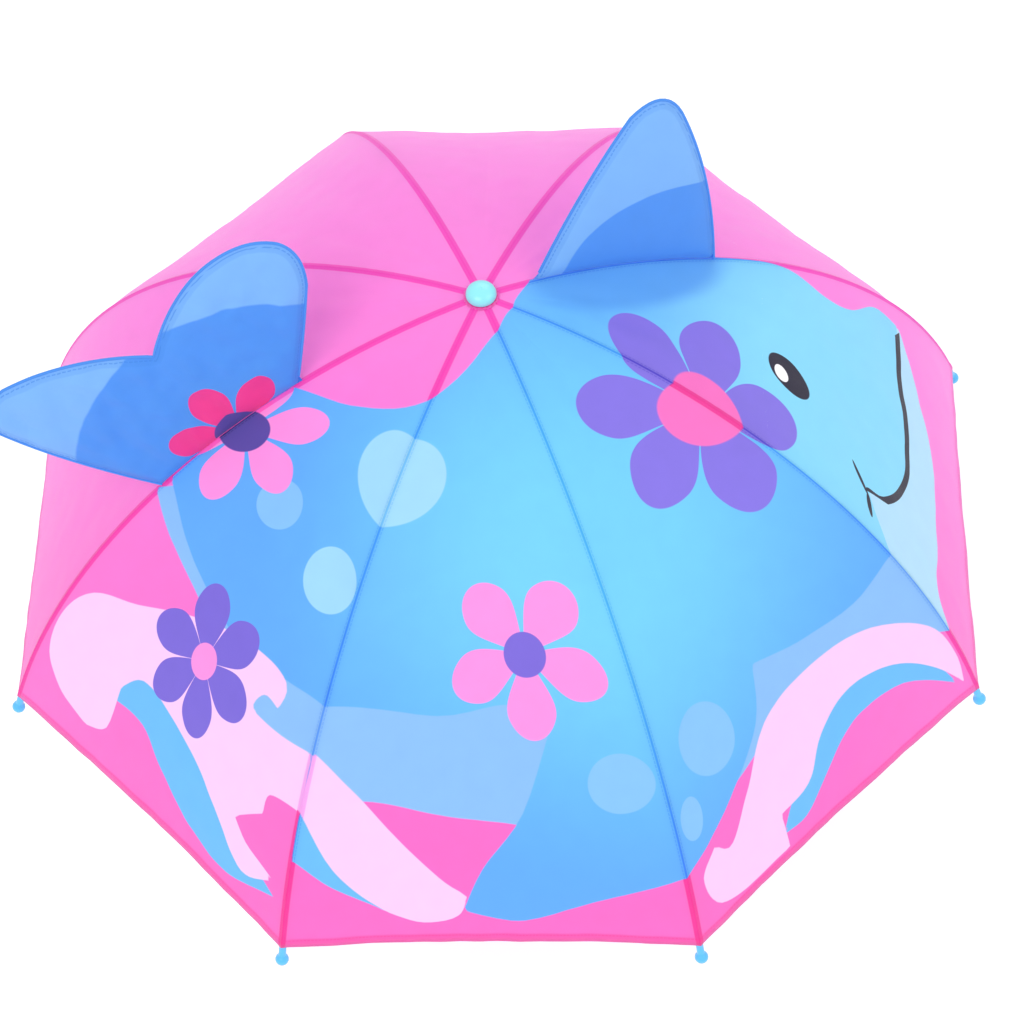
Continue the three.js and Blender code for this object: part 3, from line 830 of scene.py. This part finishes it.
def padPiece(name, pad, material):
    start, along, up, baseLength = padFrame(pad)
    loop, freeFrom = padOutline(pad, baseLength)
    plan, faces = fillOutline(pad, loop)
    gap = np.maximum(edgeDistance(plan, loop), 0)
    gap[gap < 1e-6] = 0
    freeEdge = loop[freeFrom:]
    toEdge = np.linalg.norm(plan[:, None] - freeEdge[None], axis=2)
    free = toEdge.min(1)
    # short tucks where the two faces are drawn together at the sewn edge
    seamRun = np.concatenate([[0], np.cumsum(np.linalg.norm(np.diff(freeEdge, axis=0), axis=1))])
    tuckPhase = seamRun[toEdge.argmin(1)] / padCloth["tuckPitch"]
    tucks = np.array([noise.noise(Vector((phase, 0.5, 0.5))) for phase in tuckPhase])
    fading = np.exp(-free / padCloth["tuckLength"]) * easeStep(0.0015, 0.006, gap)
    tucks = padCloth["tuckDepth"] * tucks * fading
    puff = np.sqrt(1 - (1 - np.minimum(gap / pad["rise"], 1)) ** 2)
    crumple = np.array([noise.noise(Vector((p[0] * 60, p[1] * 25, 3.0))) for p in plan])
    crumple += 0.5 * np.array([noise.noise(Vector((p[0] * 130, p[1] * 90, 7.0))) for p in plan])
    spin = Matrix.Rotation(ribAngle(pad["rib"]), 3, "Z")
    leanCos, leanSin = math.cos(pad["lean"]), math.sin(pad["lean"])

    def stand(face):  # one face of the pad, 1 or -1, in the umbrella's frame
        verts = []
        for (a, h), thick, wave, tuck in zip(plan, puff, crumple, tucks):
            seamHeight = archHeight(a, baseLength)
            above = h - seamHeight
            offset = face * (thick * (pad["thickness"] + padCloth["swell"] * wave) + tuck)
            offset += padCloth["sway"] * thick * wave
            side = above * leanSin + offset * leanCos
            rise = seamHeight + above * leanCos - offset * leanSin
            verts.append(spin @ (start + along * a + up * rise + Vector((0, side, 0))))
        return verts

    front, back = stand(1), stand(-1)
    rim = {i for i in range(len(plan)) if gap[i] == 0}
    backIndex, verts = {}, list(front)
    for i in range(len(plan)):
        if i in rim:
            backIndex[i] = i
        else:
            backIndex[i] = len(verts)
            verts.append(back[i])
    allFaces = faces + [tuple(backIndex[i] for i in face)[::-1] for face in faces]
    piece = cleanEdges(newPiece(name + "_pad", verts, allFaces, material), 75)
    order = list(range(len(plan))) + [i for i in range(len(plan)) if i not in rim]
    setValues(piece, "padPlace", [(plan[i][0], plan[i][1], 0) for i in order], "FLOAT_VECTOR")
    setValues(piece, "edgeGap", free[order])
    # rolled seam along the free edge
    edgePath = [front[int(np.argmin(np.linalg.norm(plan - q, axis=1)))] for q in freeEdge]
    edgeAcross = spin @ Vector((0, leanCos, 0)) - spin @ up * leanSin
    roll = sweep(edgePath, padCloth["piping"], 8, edgeAcross)
    piping = cleanEdges(newPiece(name + "_piping", *roll, pipingCloth))
    for part in (piece, piping):
        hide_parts(name)
    return piece, piping


def pipingMaterial():
    material, tree, shader = newMaterial("finPiping", **{"Sheen Weight": 0.2, "Roughness": 0.6})
    tone = useGroup(tree, "handledSurface", Scale=900.0, Contrast=0.15)
    colour = blendColour(tree, 1.0, padInks["edge"], tone["Shade"], "MULTIPLY")
    feed(tree, shader.inputs["Base Color"], colour)
    raiseSurface(tree, shader, tone["Height"], 0.0002, 0.5)
    return material


pipingCloth = pipingMaterial()
fin = padded["dorsal_fin"]
for part in padPiece("dorsal_fin", fin, padMaterial("finPolyester", fin["dark"])):
    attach(part, "rib_inner_1")
tail = padded["tail_fluke"]
tailFlower = (52, 2, 6, 30, 45, 0.29, 15.5, "hotPink", "deepPurple")
for part in padPiece("tail_fluke", tail, padMaterial("tailPolyester", tail["dark"], tailFlower)):
    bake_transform(part)
print("fin and tail made")

# ---- hard finishes ----
def hardMaterial(name, colour, roughness, metallic=0.0, grain=0.15, bump=0.00004, scale=900.0, coat=0.0):
    material, tree, shader = newMaterial(
        name, **{"Metallic": metallic, "Coat Weight": coat, "Coat Roughness": 0.12}
    )
    tone = useGroup(tree, "handledSurface", Scale=scale, Contrast=grain)
    feed(tree, shader.inputs["Base Color"], blendColour(tree, 1.0, dye(colour), tone["Shade"], "MULTIPLY"))
    feed(tree, shader.inputs["Roughness"], calc(tree, "ADD", roughness, tone["Roughness"]))
    raiseSurface(tree, shader, tone["Height"], bump, 0.35)
    return material


aquaPlastic = hardMaterial("aquaPlastic", "8FEAF2", 0.3, coat=0.25)
bluePlastic = hardMaterial("bluePlastic", "5CC2FA", 0.32, coat=0.2)
whitePlastic = hardMaterial("whitePlastic", "EEF1F4", 0.42, grain=0.08)
brightSteel = hardMaterial("brightSteel", "C4C8CE", 0.26, metallic=1.0, grain=0.25, scale=1400.0)
blackSteel = hardMaterial("blackSteel", "2C2E33", 0.42, metallic=0.35, grain=0.3, scale=1200.0)
pinkThread = hardMaterial("pinkThread", "FF5DBB", 0.8, grain=0.3, bump=0.0002, scale=2500.0)


def circle(segments):
    turns = [2 * math.pi * k / segments for k in range(segments)]
    return [(math.cos(turn), math.sin(turn)) for turn in turns]


def closedRows(rows, segments):
    # faces between each circle of points and the next, and from the last back to the first
    faces = []
    for row in range(rows):
        a, b = row * segments, ((row + 1) % rows) * segments
        for k in range(segments):
            n = (k + 1) % segments
            faces.append((a + k, a + n, b + n, b + k))
    return faces


def lathe(name, profile, material, segments=64, angle=35):
    # profile of [radius, height] in millimetres, drawn from the axis or as a closed ring
    verts, faces, rings = [], [], []
    for radius, height in profile:
        if radius < 1e-6:
            rings.append([len(verts)])
            verts.append((0, 0, height * 0.001))
        else:
            rings.append(list(range(len(verts), len(verts) + segments)))
            r = radius * 0.001
            verts += [(r * c, r * s, height * 0.001) for c, s in circle(segments)]
    pairs = list(zip(rings, rings[1:]))
    if len(rings[0]) > 1 and len(rings[-1]) > 1:
        pairs.append((rings[-1], rings[0]))
    for a, b in pairs:
        for k in range(segments):
            corner = (a[k % len(a)], a[(k + 1) % len(a)], b[(k + 1) % len(b)], b[k % len(b)])
            face = tuple(dict.fromkeys(corner))
            if len(face) > 2:
                faces.append(face)
    return cleanEdges(newPiece(name, verts, faces, material), angle)


def blockAt(size, centre, turn=0.0):
    spin = Matrix.Rotation(turn, 3, "Z")
    verts = [
        spin @ Vector([c + s * d / 2 for c, s, d in zip(centre, sign, size)])
        for sign in ((x, y, z) for x in (-1, 1) for y in (-1, 1) for z in (-1, 1))
    ]
    return verts, [(0, 1, 3, 2), (4, 6, 7, 5), (0, 4, 5, 1), (2, 3, 7, 6), (0, 2, 6, 4), (1, 5, 7, 3)]


def carve(piece, *tools):
    # cuts each tool out of the piece and keeps the result as its mesh
    for tool in tools:
        cutter = cleanEdges(newPiece("cutter", *tool))
        modifier = piece.modifiers.new("carve", "BOOLEAN")
        modifier.object, modifier.solver = cutter, "EXACT"
        bpy.context.view_layer.update()
        shape = bpy.data.meshes.new_from_object(piece.evaluated_get(bpy.context.evaluated_depsgraph_get()))
        piece.modifiers.clear()
        piece.data = shape
        bpy.data.objects.remove(cutter)
    return cleanEdges(piece, 35)


def ringTool(inner, outer, low, high, segments=64):
    profile = [(inner, low), (outer, low), (outer, high), (inner, high)]
    verts = [(r * 0.001 * c, r * 0.001 * s, z * 0.001) for r, z in profile for c, s in circle(segments)]
    return verts, closedRows(len(profile), segments)


def ribSlots(inner, outer, low, high):
    centre = ((inner + outer) * 0.0005, 0, (low + high) * 0.0005)
    size = ((outer - inner) * 0.001, 0.002, (high - low) * 0.001)
    return gatherParts([blockAt(size, centre, ribAngle(number)) for number in ribNumbers])


def fitted(piece, body, slot, *nodes):
    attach(piece, body)
    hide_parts(*nodes)
    return piece


# ---- crown: cap, gathered rosette and top notch ----
crown = {"pivot": 520.0, "capBottom": 525.0}  # millimetres
rosette = {
    "hole": 0.0046,
    "radius": 0.0112,
    "rings": 10,
    "spokes": 176,
    "thickness": 0.00035,
    "lift": 0.0006,
    "highest": 0.52495,
    "pleats": 18,
    "pleatDepth": 0.00035,
}
capProfile = [(0, 7.2), (0.7, 7.25), (1.1, 7.5), (3.6, 7.3), (6.0, 6.6), (7.9, 5.4), (9.1, 3.9), (9.7, 2.2),
              (9.8, 0.8), (9.6, 0.25), (9.1, 0), (4.4, 0), (4.4, 3.6), (0, 3.6)]
cap = lathe("canopy_cap_dome", [(r, crown["capBottom"] + z) for r, z in capProfile], aquaPlastic, 72)
fitted(cap, "shaft", "aqua_plastic", "canopy_cap")


def makeRosette():
    rings, spokes, deep = rosette["rings"], rosette["spokes"], rosette["pleatDepth"]
    verts = []
    for layer in (0, 1):
        for i in range(rings + 1):
            share = i / rings
            for k in range(spokes):
                turn = 2 * math.pi * k / spokes
                ruffle = math.sin(rosette["pleats"] * turn + 0.8 * math.sin(3 * turn))
                radius = rosette["hole"] + (rosette["radius"] - rosette["hole"]) * share
                radius += deep * share * math.sin(2 * rosette["pleats"] * turn)
                height = domePoint(radius)[1] + rosette["lift"] + deep * ruffle * share
                height = min(height - layer * rosette["thickness"], rosette["highest"])
                verts.append((radius * math.cos(turn), radius * math.sin(turn), height))
    faces = []
    size, edge = (rings + 1) * spokes, rings * spokes
    for i in range(rings):
        for k in range(spokes):
            a, b = i * spokes + k, i * spokes + (k + 1) % spokes
            faces.append((a, a + spokes, b + spokes, b))
            faces.append((size + a, size + b, size + b + spokes, size + a + spokes))
    for k in range(spokes):
        n = (k + 1) % spokes
        faces.append((k, n, size + n, size + k))
        faces.append((edge + k, size + edge + k, size + edge + n, edge + n))
    material, tree, shader = newMaterial("rosetteCloth", **{"Sheen Weight": 0.2, "Sheen Roughness": 0.4})
    place = addNode(tree, "ShaderNodeTexCoord").outputs["Object"]
    reach = vectorCalc(tree, "LENGTH", vectorCalc(tree, "MULTIPLY", place, (1, 1, 0)))
    colour = blendColour(tree, fade(tree, reach, 0.0085, 0.0115), ink["hotPink"], ink["pinkLow"])
    clothShader(tree, shader, colour, place, 0.15)
    piece = cleanEdges(newPiece("crown_rosette_cloth", verts, faces, material), 60)
    fitted(piece, "shaft", "pink_cloth", "crown_rosette")


makeRosette()
pivot = crown["pivot"]
notchProfile = [(4.4, -3.4), (8.5, -3.4), (9.1, -3.2), (9.4, -2.6), (9.4, 2.9), (9.1, 3.3), (4.4, 3.3)]
notch = lathe("top_notch_moulding", [(r, pivot + z) for r, z in notchProfile], whitePlastic)
carve(notch, ringTool(6.3, 12, pivot - 0.9, pivot + 0.9), ribSlots(4.3, 12, pivot - 5, pivot + 2.3))
fitted(notch, "shaft", "white_plastic", "top_notch")

# ---- shaft, handle and runner ----
shaft = {"bore": 3.3, "radius": 4.0, "bottom": 1.0, "top": 528.2}  # millimetres
catchSlot = {"size": (0.002, 0.006, 0.015), "depth": -0.0045, "fromCatchEnd": 0.0067}
tubeProfile = [
    (shaft["bore"], shaft["bottom"]),
    (shaft["radius"], shaft["bottom"]),
    (shaft["radius"], shaft["top"]),
    (shaft["bore"], shaft["top"]),
]
tube = lathe("shaft_tube_steel", tubeProfile, brightSteel)
upperCatch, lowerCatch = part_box("upper_catch"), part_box("lower_catch")
fromEnd = catchSlot["fromCatchEnd"]
slotHeights = (upperCatch[1][2] - fromEnd, lowerCatch[0][2] + fromEnd)
carve(tube, *(blockAt(catchSlot["size"], (0, catchSlot["depth"], height)) for height in slotHeights))
fitted(tube, "shaft", "bright_steel", "shaft_tube")

handle = {
    "radius": 0.0085,
    "top": 0.045,
    "hookRadius": 0.024,
    "hookDepth": -0.035,
    "hookTip": -0.020,
    "sides": 40,
    "gripSteps": 24,
    "ringDepth": 0.035,
    "topRound": ((0, 0.90), (0.0006, 0.97), (0.0016, 1.0)),  # drop and share of the radius
    "endRound": 0.45,
}


def makeHandle():
    top, depth, bend, tip = (handle[key] for key in ("top", "hookDepth", "hookRadius", "hookTip"))
    radius, steps = handle["radius"], handle["gripSteps"]
    path = [(0, 0, top - drop) for drop, size in handle["topRound"]]
    taper = [size for drop, size in handle["topRound"]]
    gripTop = path[-1][2]
    for i in range(1, steps + 1):
        path.append((0, 0, gripTop + (depth - gripTop) * i / steps))
        # soft finger rings along the grip
        ringShare = easeStep(0.2, 0.35, i / steps) * easeStep(0.95, 0.8, i / steps)
        taper.append(1 - handle["ringDepth"] * ringShare * (0.5 + 0.5 * math.cos(math.pi * i / 2)))
    for i in range(1, 41):
        turn = math.pi * (1 + i / 40)
        path.append((bend + bend * math.cos(turn), 0, depth + bend * math.sin(turn)))
        taper.append(1.0)
    endRound = radius * handle["endRound"]
    for i in range(9):
        turn = math.pi / 2 * i / 8
        path.append((2 * bend, 0, tip - endRound + endRound * math.sin(turn)))
        taper.append(max(math.cos(turn), 0.05))
    bar = sweep(path, radius, handle["sides"], Vector((0, 1, 0)), taper)
    grip = cleanEdges(newPiece("handle_grip", *bar, bluePlastic), 50)
    fitted(grip, "shaft", "blue_plastic", "handle")


makeHandle()

collarProfile = [(4.4, 45.4), (9.0, 45.4), (9.3, 45.7), (9.3, 48.2), (9.1, 48.8), (7.9, 52.4), (7.2, 53.2),
                 (6.6, 53.4), (4.4, 53.4)]
collar = lathe("handle_collar_ring", collarProfile, aquaPlastic)
fitted(collar, "shaft", "aqua_plastic", "handle_collar")

runnerProfile = [(4.4, -47), (7.1, -47), (7.6, -46.7), (7.8, -46.2), (7.8, -38.4), (7.6, -37.7), (7.0, -36.4),
                 (6.8, -35.8), (6.8, -3.9), (7.1, -3.3), (11.1, -3.2), (11.8, -2.9), (12, -2.4), (12, 3.0),
                 (11.6, 3.5), (4.4, 3.5)]
runnerPivot = 395.51
runner = lathe("runner_moulding", [(r, runnerPivot + z) for r, z in runnerProfile], whitePlastic)
catchWindow = {"size": (0.0026, 0.008, 0.035), "centre": (0, -0.006, (runnerPivot - 21.5) * 0.001)}
carve(
    runner,
    ringTool(8.6, 14, runnerPivot - 0.9, runnerPivot + 0.9),
    ribSlots(6.9, 14, runnerPivot - 5, runnerPivot + 5),
    blockAt(catchWindow["size"], catchWindow["centre"]),
)
fitted(runner, "runner", "white_plastic", "runner_body")
print("shaft, handle and runner made")

# ---- ribs: one sprung wire from notch to tip, with its eye and its lug ----
ribs = {
    "wireStart": 0.018,
    "step": 0.005,
    "plate": 0.0012,
    "notchPivot": (0.0072, 0.520),
    "eye": 0.0019,
    "eyeHole": 0.0009,
    "neckStart": 0.0016,
    "neckHalf": (0.0008, 0.0010, 0.0009),  # at the eye, then under and over the wire's middle
    "neckLap": 0.003,
    "jointAt": 0.2018,
    "jointDrop": 0.0071,
    "lug": 0.0025,
    "lugHole": 0.001,
    "webHalf": 0.0023,
    "webLap": 0.0012,
}
ties = {
    "places": (0.075, 0.15, 0.27, 0.35, 0.43),
    "strands": (-0.0006, 0.0, 0.0006),
    "thread": 0.0003,
    "across": 0.0017,
    "up": 0.0019,
    "lift": 0.0004,
}
tipProfile = [(0, 0), (1.65, 0), (1.65, -8), (2.1, -8), (2.4, -7.7), (2.4, 0.4), (2.55, 1.0), (3.3, 1.9),
              (4.0, 3.0), (4.35, 4.2), (4.38, 5.2), (4.1, 6.4), (3.4, 7.6), (2.4, 8.5), (1.2, 9.05), (0, 9.2)]


def slab(outline, thickness):
    count = len(outline)
    verts = [(x, y, z) for y in (-thickness / 2, thickness / 2) for x, z in outline]
    faces = [tuple(range(count)), tuple(range(count, 2 * count))[::-1]]
    faces += [(i, (i + 1) % count, count + (i + 1) % count, count + i) for i in range(count)]
    return verts, faces


def washer(x, z, outer, hole, thickness, segments=24):
    half = thickness / 2
    profile = [(hole, -half), (outer, -half), (outer, half), (hole, half)]
    verts = [(x + r * c, y, z + r * s) for r, y in profile for c, s in circle(segments)]
    return verts, closedRows(len(profile), segments)


def ribMetal():
    # wire, neck, eye, lug and its web, on the rib that lies along +X
    inset = -umbrella["ribInset"]
    start, length = ribs["wireStart"], umbrella["ribEnd"] - ribs["wireStart"]
    count = round(length / ribs["step"])
    path = []
    for i in range(count + 1):
        x, z = domePoint(start + length * i / count, inset)
        path.append((x, 0, z))
    wire = sweep(path, umbrella["ribWire"], 12, Vector((0, 1, 0)))
    pivotX, pivotZ = ribs["notchPivot"]
    eyeX, (atEye, under, over) = pivotX + ribs["neckStart"], ribs["neckHalf"]
    neckX, neckZ = domePoint(start + ribs["neckLap"], inset)
    neckEnd = [(neckX, neckZ - under), (neckX, neckZ + over)]
    neck = slab([(eyeX, pivotZ - atEye), *neckEnd, (eyeX, pivotZ + atEye)], ribs["plate"])
    eye = washer(pivotX, pivotZ, ribs["eye"], ribs["eyeHole"], ribs["plate"])
    jointX, jointZ = domePoint(ribs["jointAt"], -ribs["jointDrop"])
    lug = washer(jointX, jointZ, ribs["lug"], ribs["lugHole"], ribs["plate"])
    topX, topZ = domePoint(ribs["jointAt"], inset)
    lowX, lowZ = domePoint(ribs["jointAt"], ribs["webLap"] - ribs["jointDrop"])
    slope = slopeAt(ribs["jointAt"])
    dx, dz = math.cos(slope) * ribs["webHalf"], -math.sin(slope) * ribs["webHalf"]
    webLow = [(lowX - dx, lowZ - dz), (lowX + dx, lowZ + dz)]
    webTop = [(topX + dx, topZ + dz), (topX - dx, topZ - dz)]
    return gatherParts([wire, neck, eye, lug, slab(webLow + webTop, ribs["plate"])])


def threadTies():
    # the loops of thread that hold the seam to the wire
    loops = []
    for place in ties["places"]:
        x, z = domePoint(place, ties["lift"] - umbrella["ribInset"])
        slope = slopeAt(place)
        outX, outZ = math.sin(slope), math.cos(slope)
        for shift in ties["strands"]:
            ring = []
            for k in range(17):
                turn = 2 * math.pi * k / 16
                out, side = ties["up"] * math.sin(turn), ties["across"] * math.cos(turn)
                ring.append((x + outZ * shift + outX * out, side, z - outX * shift + outZ * out))
            loops.append(sweep(ring, ties["thread"], 5, Vector((outZ, 0, -outX))))
    return gatherParts(loops)


def makeRib(number):
    inset = -umbrella["ribInset"]
    metal, thread = ribMetal(), threadTies()
    verts, faces = gatherParts([metal, thread])
    spin = Matrix.Rotation(ribAngle(number), 3, "Z")
    piece = newPiece(f"rib_{number}_wire", [spin @ v for v in verts], faces, blackSteel, pinkThread)
    finish = np.repeat([0, 1], [len(metal[1]), len(thread[1])]).astype(np.int32)
    piece.data.polygons.foreach_set("material_index", finish)
    cleanEdges(piece, 50)
    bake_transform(piece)
    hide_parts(f"rib_inner_{number}", f"rib_outer_{number}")

    tip = lathe(f"rib_{number}_tip_ball", tipProfile, bluePlastic, 32)
    tip.data.transform(
        Matrix.Translation(onRib(number, umbrella["ribEnd"], inset))
        @ Matrix.Rotation(ribAngle(number), 4, "Z")
        @ Matrix.Rotation(math.pi / 2 + slopeAt(umbrella["ribEnd"]), 4, "Y")
    )
    fitted(tip, f"rib_outer_{number}", "blue_plastic", f"rib_tip_{number}")


for number in ribNumbers:
    makeRib(number)
print("ribs made")

# ---- tie strap beside rib 3 ----
strap = {
    "rib": 3,
    "width": 0.016,
    "length": 0.113,
    "thickness": 0.0009,
    "inFromHem": 0.0092,
    "besideRib": 0.018,
    "overHem": 0.006,
    "sway": 0.0022,
    "patchEnd": 0.025,
    "steps": 40,
    "across": 10,
}


def makeStrap():
    low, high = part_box("tie_strap")
    spin = Matrix.Rotation(ribAngle(strap["rib"]), 3, "Z")
    hemX, hemZ = domePoint(umbrella["hem"])
    top = Vector((hemX - strap["inFromHem"], strap["besideRib"], hemZ + strap["overHem"]))
    verts, places = [], []
    for layer in (0, 1):
        for i in range(strap["steps"] + 1):
            down = i / strap["steps"]
            wave = strap["sway"] * math.sin(3.2 * down) * down
            for j in range(strap["across"] + 1):
                side = (j / strap["across"] - 0.5) * strap["width"]
                edge = 1 - (abs(side) / (strap["width"] / 2)) ** 8
                thick = strap["thickness"] * (0.35 + 0.65 * edge)
                x = top.x + wave - 0.0016 * max(0, 1 - down / 0.1) + (0.5 - layer) * thick
                verts.append(spin @ Vector((x, top.y + side, top.z - down * strap["length"])))
                places.append((side, down * strap["length"], 0))
    rows, columns = strap["steps"], strap["across"]

    def at(layer, i, j):
        return layer * (rows + 1) * (columns + 1) + i * (columns + 1) + j

    faces = []
    for i in range(rows):
        for j in range(columns):
            faces.append((at(0, i, j), at(0, i + 1, j), at(0, i + 1, j + 1), at(0, i, j + 1)))
            faces.append((at(1, i, j), at(1, i, j + 1), at(1, i + 1, j + 1), at(1, i + 1, j)))
        faces.append((at(0, i, 0), at(1, i, 0), at(1, i + 1, 0), at(0, i + 1, 0)))
        faces.append((at(0, i, columns), at(0, i + 1, columns), at(1, i + 1, columns), at(1, i, columns)))
    for j in range(columns):
        faces.append((at(0, 0, j), at(0, 0, j + 1), at(1, 0, j + 1), at(1, 0, j)))
        faces.append((at(0, rows, j), at(1, rows, j), at(1, rows, j + 1), at(0, rows, j + 1)))
    material, tree, shader = newMaterial("strapCloth", **{"Sheen Weight": 0.2, "Sheen Roughness": 0.4})
    place = attribute(tree, "strapPlace", "Vector")
    parts = addNode(tree, "ShaderNodeSeparateXYZ")
    feed(tree, parts.inputs[0], place)
    sideGap = calc(tree, "SUBTRACT", strap["width"] / 2, calc(tree, "ABSOLUTE", parts.outputs[0]))
    endGap = calc(tree, "SUBTRACT", strap["length"], parts.outputs[1])
    gap = calc(tree, "MINIMUM", sideGap, endGap)
    along = calc(tree, "ADD", parts.outputs[0], parts.outputs[1])
    stitch = useGroup(tree, "stitchLine", Gap=gap, Offset=0.0018, Along=along, Pitch=0.0028)["Mask"]
    colour = blendColour(tree, stitch, ink["pinkLow"], ink["hotPink"])
    # the patch of hooks that holds the strap closed
    patchStart = fade(tree, endGap, strap["patchEnd"] + 0.0005, strap["patchEnd"] - 0.0005)
    patch = calc(tree, "MULTIPLY", patchStart, fade(tree, gap, 0.0026, 0.0032))
    fuzz = addNode(tree, "ShaderNodeTexNoise")
    fuzz.inputs["Scale"].default_value = 1800
    fuzzy = blendColour(tree, fuzz.outputs[0], ink["hotPink"], ink["pinkHigh"])
    colour = blendColour(tree, patch, colour, fuzzy)
    clothShader(tree, shader, colour, place, 0.1)
    piece = cleanEdges(newPiece("tie_strap_cloth", verts, faces, material), 60)
    setValues(piece, "strapPlace", places, "FLOAT_VECTOR")
    fitted(piece, "rib_outer_3", "strap_cloth", "tie_strap")
    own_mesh(piece)


makeStrap()

# CAD nodes that stay, with their own finish
brightNodes = ["notch_wire", "runner_wire", "upper_catch", "lower_catch"]
blackNodes = ["runner_stop"] + [f"stretcher_{number}" for number in ribNumbers]
for names, material in ((brightNodes, brightSteel), (blackNodes, blackSteel)):
    for name in names:
        for holder in bpy.data.objects[name].material_slots:
            holder.material = material
print("strap and small steel parts made")

# ---- camera, lights and floor ----
view = {
    "turn": math.radians(4.0),
    "height": math.radians(55.5),
    "roll": math.radians(-3.9),
    "distance": 1.9347,
    "right": 0.0193,
    "up": -0.1356,
    "lens": 108.5,
}


def makeCamera():
    back = Vector((
        math.sin(view["turn"]) * math.cos(view["height"]), -math.cos(view["turn"]) * math.cos(view["height"]),
        math.sin(view["height"]),
    ))
    right = Vector((0, 0, 1)).cross(back).normalized()
    up = back.cross(right)
    rolledRight = right * math.cos(view["roll"]) + up * math.sin(view["roll"])
    rolledUp = up * math.cos(view["roll"]) - right * math.sin(view["roll"])
    data = bpy.data.cameras.new("camera")
    data.lens = view["lens"]
    data.sensor_width = 36
    camera = bpy.data.objects.new("camera", data)
    bpy.context.scene.collection.objects.link(camera)
    spin = Matrix((rolledRight, rolledUp, back)).transposed().to_4x4()
    spot = Vector((0, 0, umbrella["crown"])) + rolledRight * view["right"] + rolledUp * view["up"]
    camera.matrix_world = Matrix.Translation(spot + back * view["distance"]) @ spin
    bpy.context.scene.camera = camera


def makeLight(name, spot, power):
    aim, size = Vector((0, 0, 0.35)), 1.6
    data = bpy.data.lights.new(name, "AREA")
    data.size, data.energy = size, power
    light = bpy.data.objects.new(name, data)
    bpy.context.scene.collection.objects.link(light)
    light.location = spot
    light.rotation_euler = (aim - Vector(spot)).to_track_quat("-Z", "Y").to_euler()


def makeFloor():
    material, tree, shader = newMaterial("paleFloor", Roughness=0.9)
    shader.inputs["Specular IOR Level"].default_value = 0.0
    tone = addNode(tree, "ShaderNodeTexNoise")
    tone.inputs["Scale"].default_value = 3
    mottle = fade(tree, tone.outputs[0], 0.3, 0.7)
    paleGrey, paler = (0.93, 0.93, 0.93, 1), (0.95, 0.95, 0.95, 1)
    feed(tree, shader.inputs["Base Color"], blendColour(tree, mottle, paleGrey, paler))
    shader.inputs["Emission Color"].default_value = (1, 1, 1, 1)
    shader.inputs["Emission Strength"].default_value = 0.25
    size, level = 6.0, cadBounds[0][2] - 0.004
    corners = [(x * size, y * size, level) for x, y in ((-1, -1), (1, -1), (1, 1), (-1, 1))]
    floor = newPiece("floor", corners, [(0, 1, 2, 3)], material)


makeCamera()
makeLight("keyLight", (-1.0, -1.6, 2.6), 26)
makeLight("fillLight", (1.8, -0.6, 1.9), 10)
makeLight("backLight", (0.2, 2.0, 2.2), 10)
makeFloor()
world = bpy.data.worlds.new("studio")
world.use_nodes = True
world.node_tree.nodes["Background"].inputs["Color"].default_value = (1, 1, 1, 1)
world.node_tree.nodes["Background"].inputs["Strength"].default_value = 0.75
bpy.context.scene.world = world
bpy.context.scene.view_settings.view_transform = "Standard"
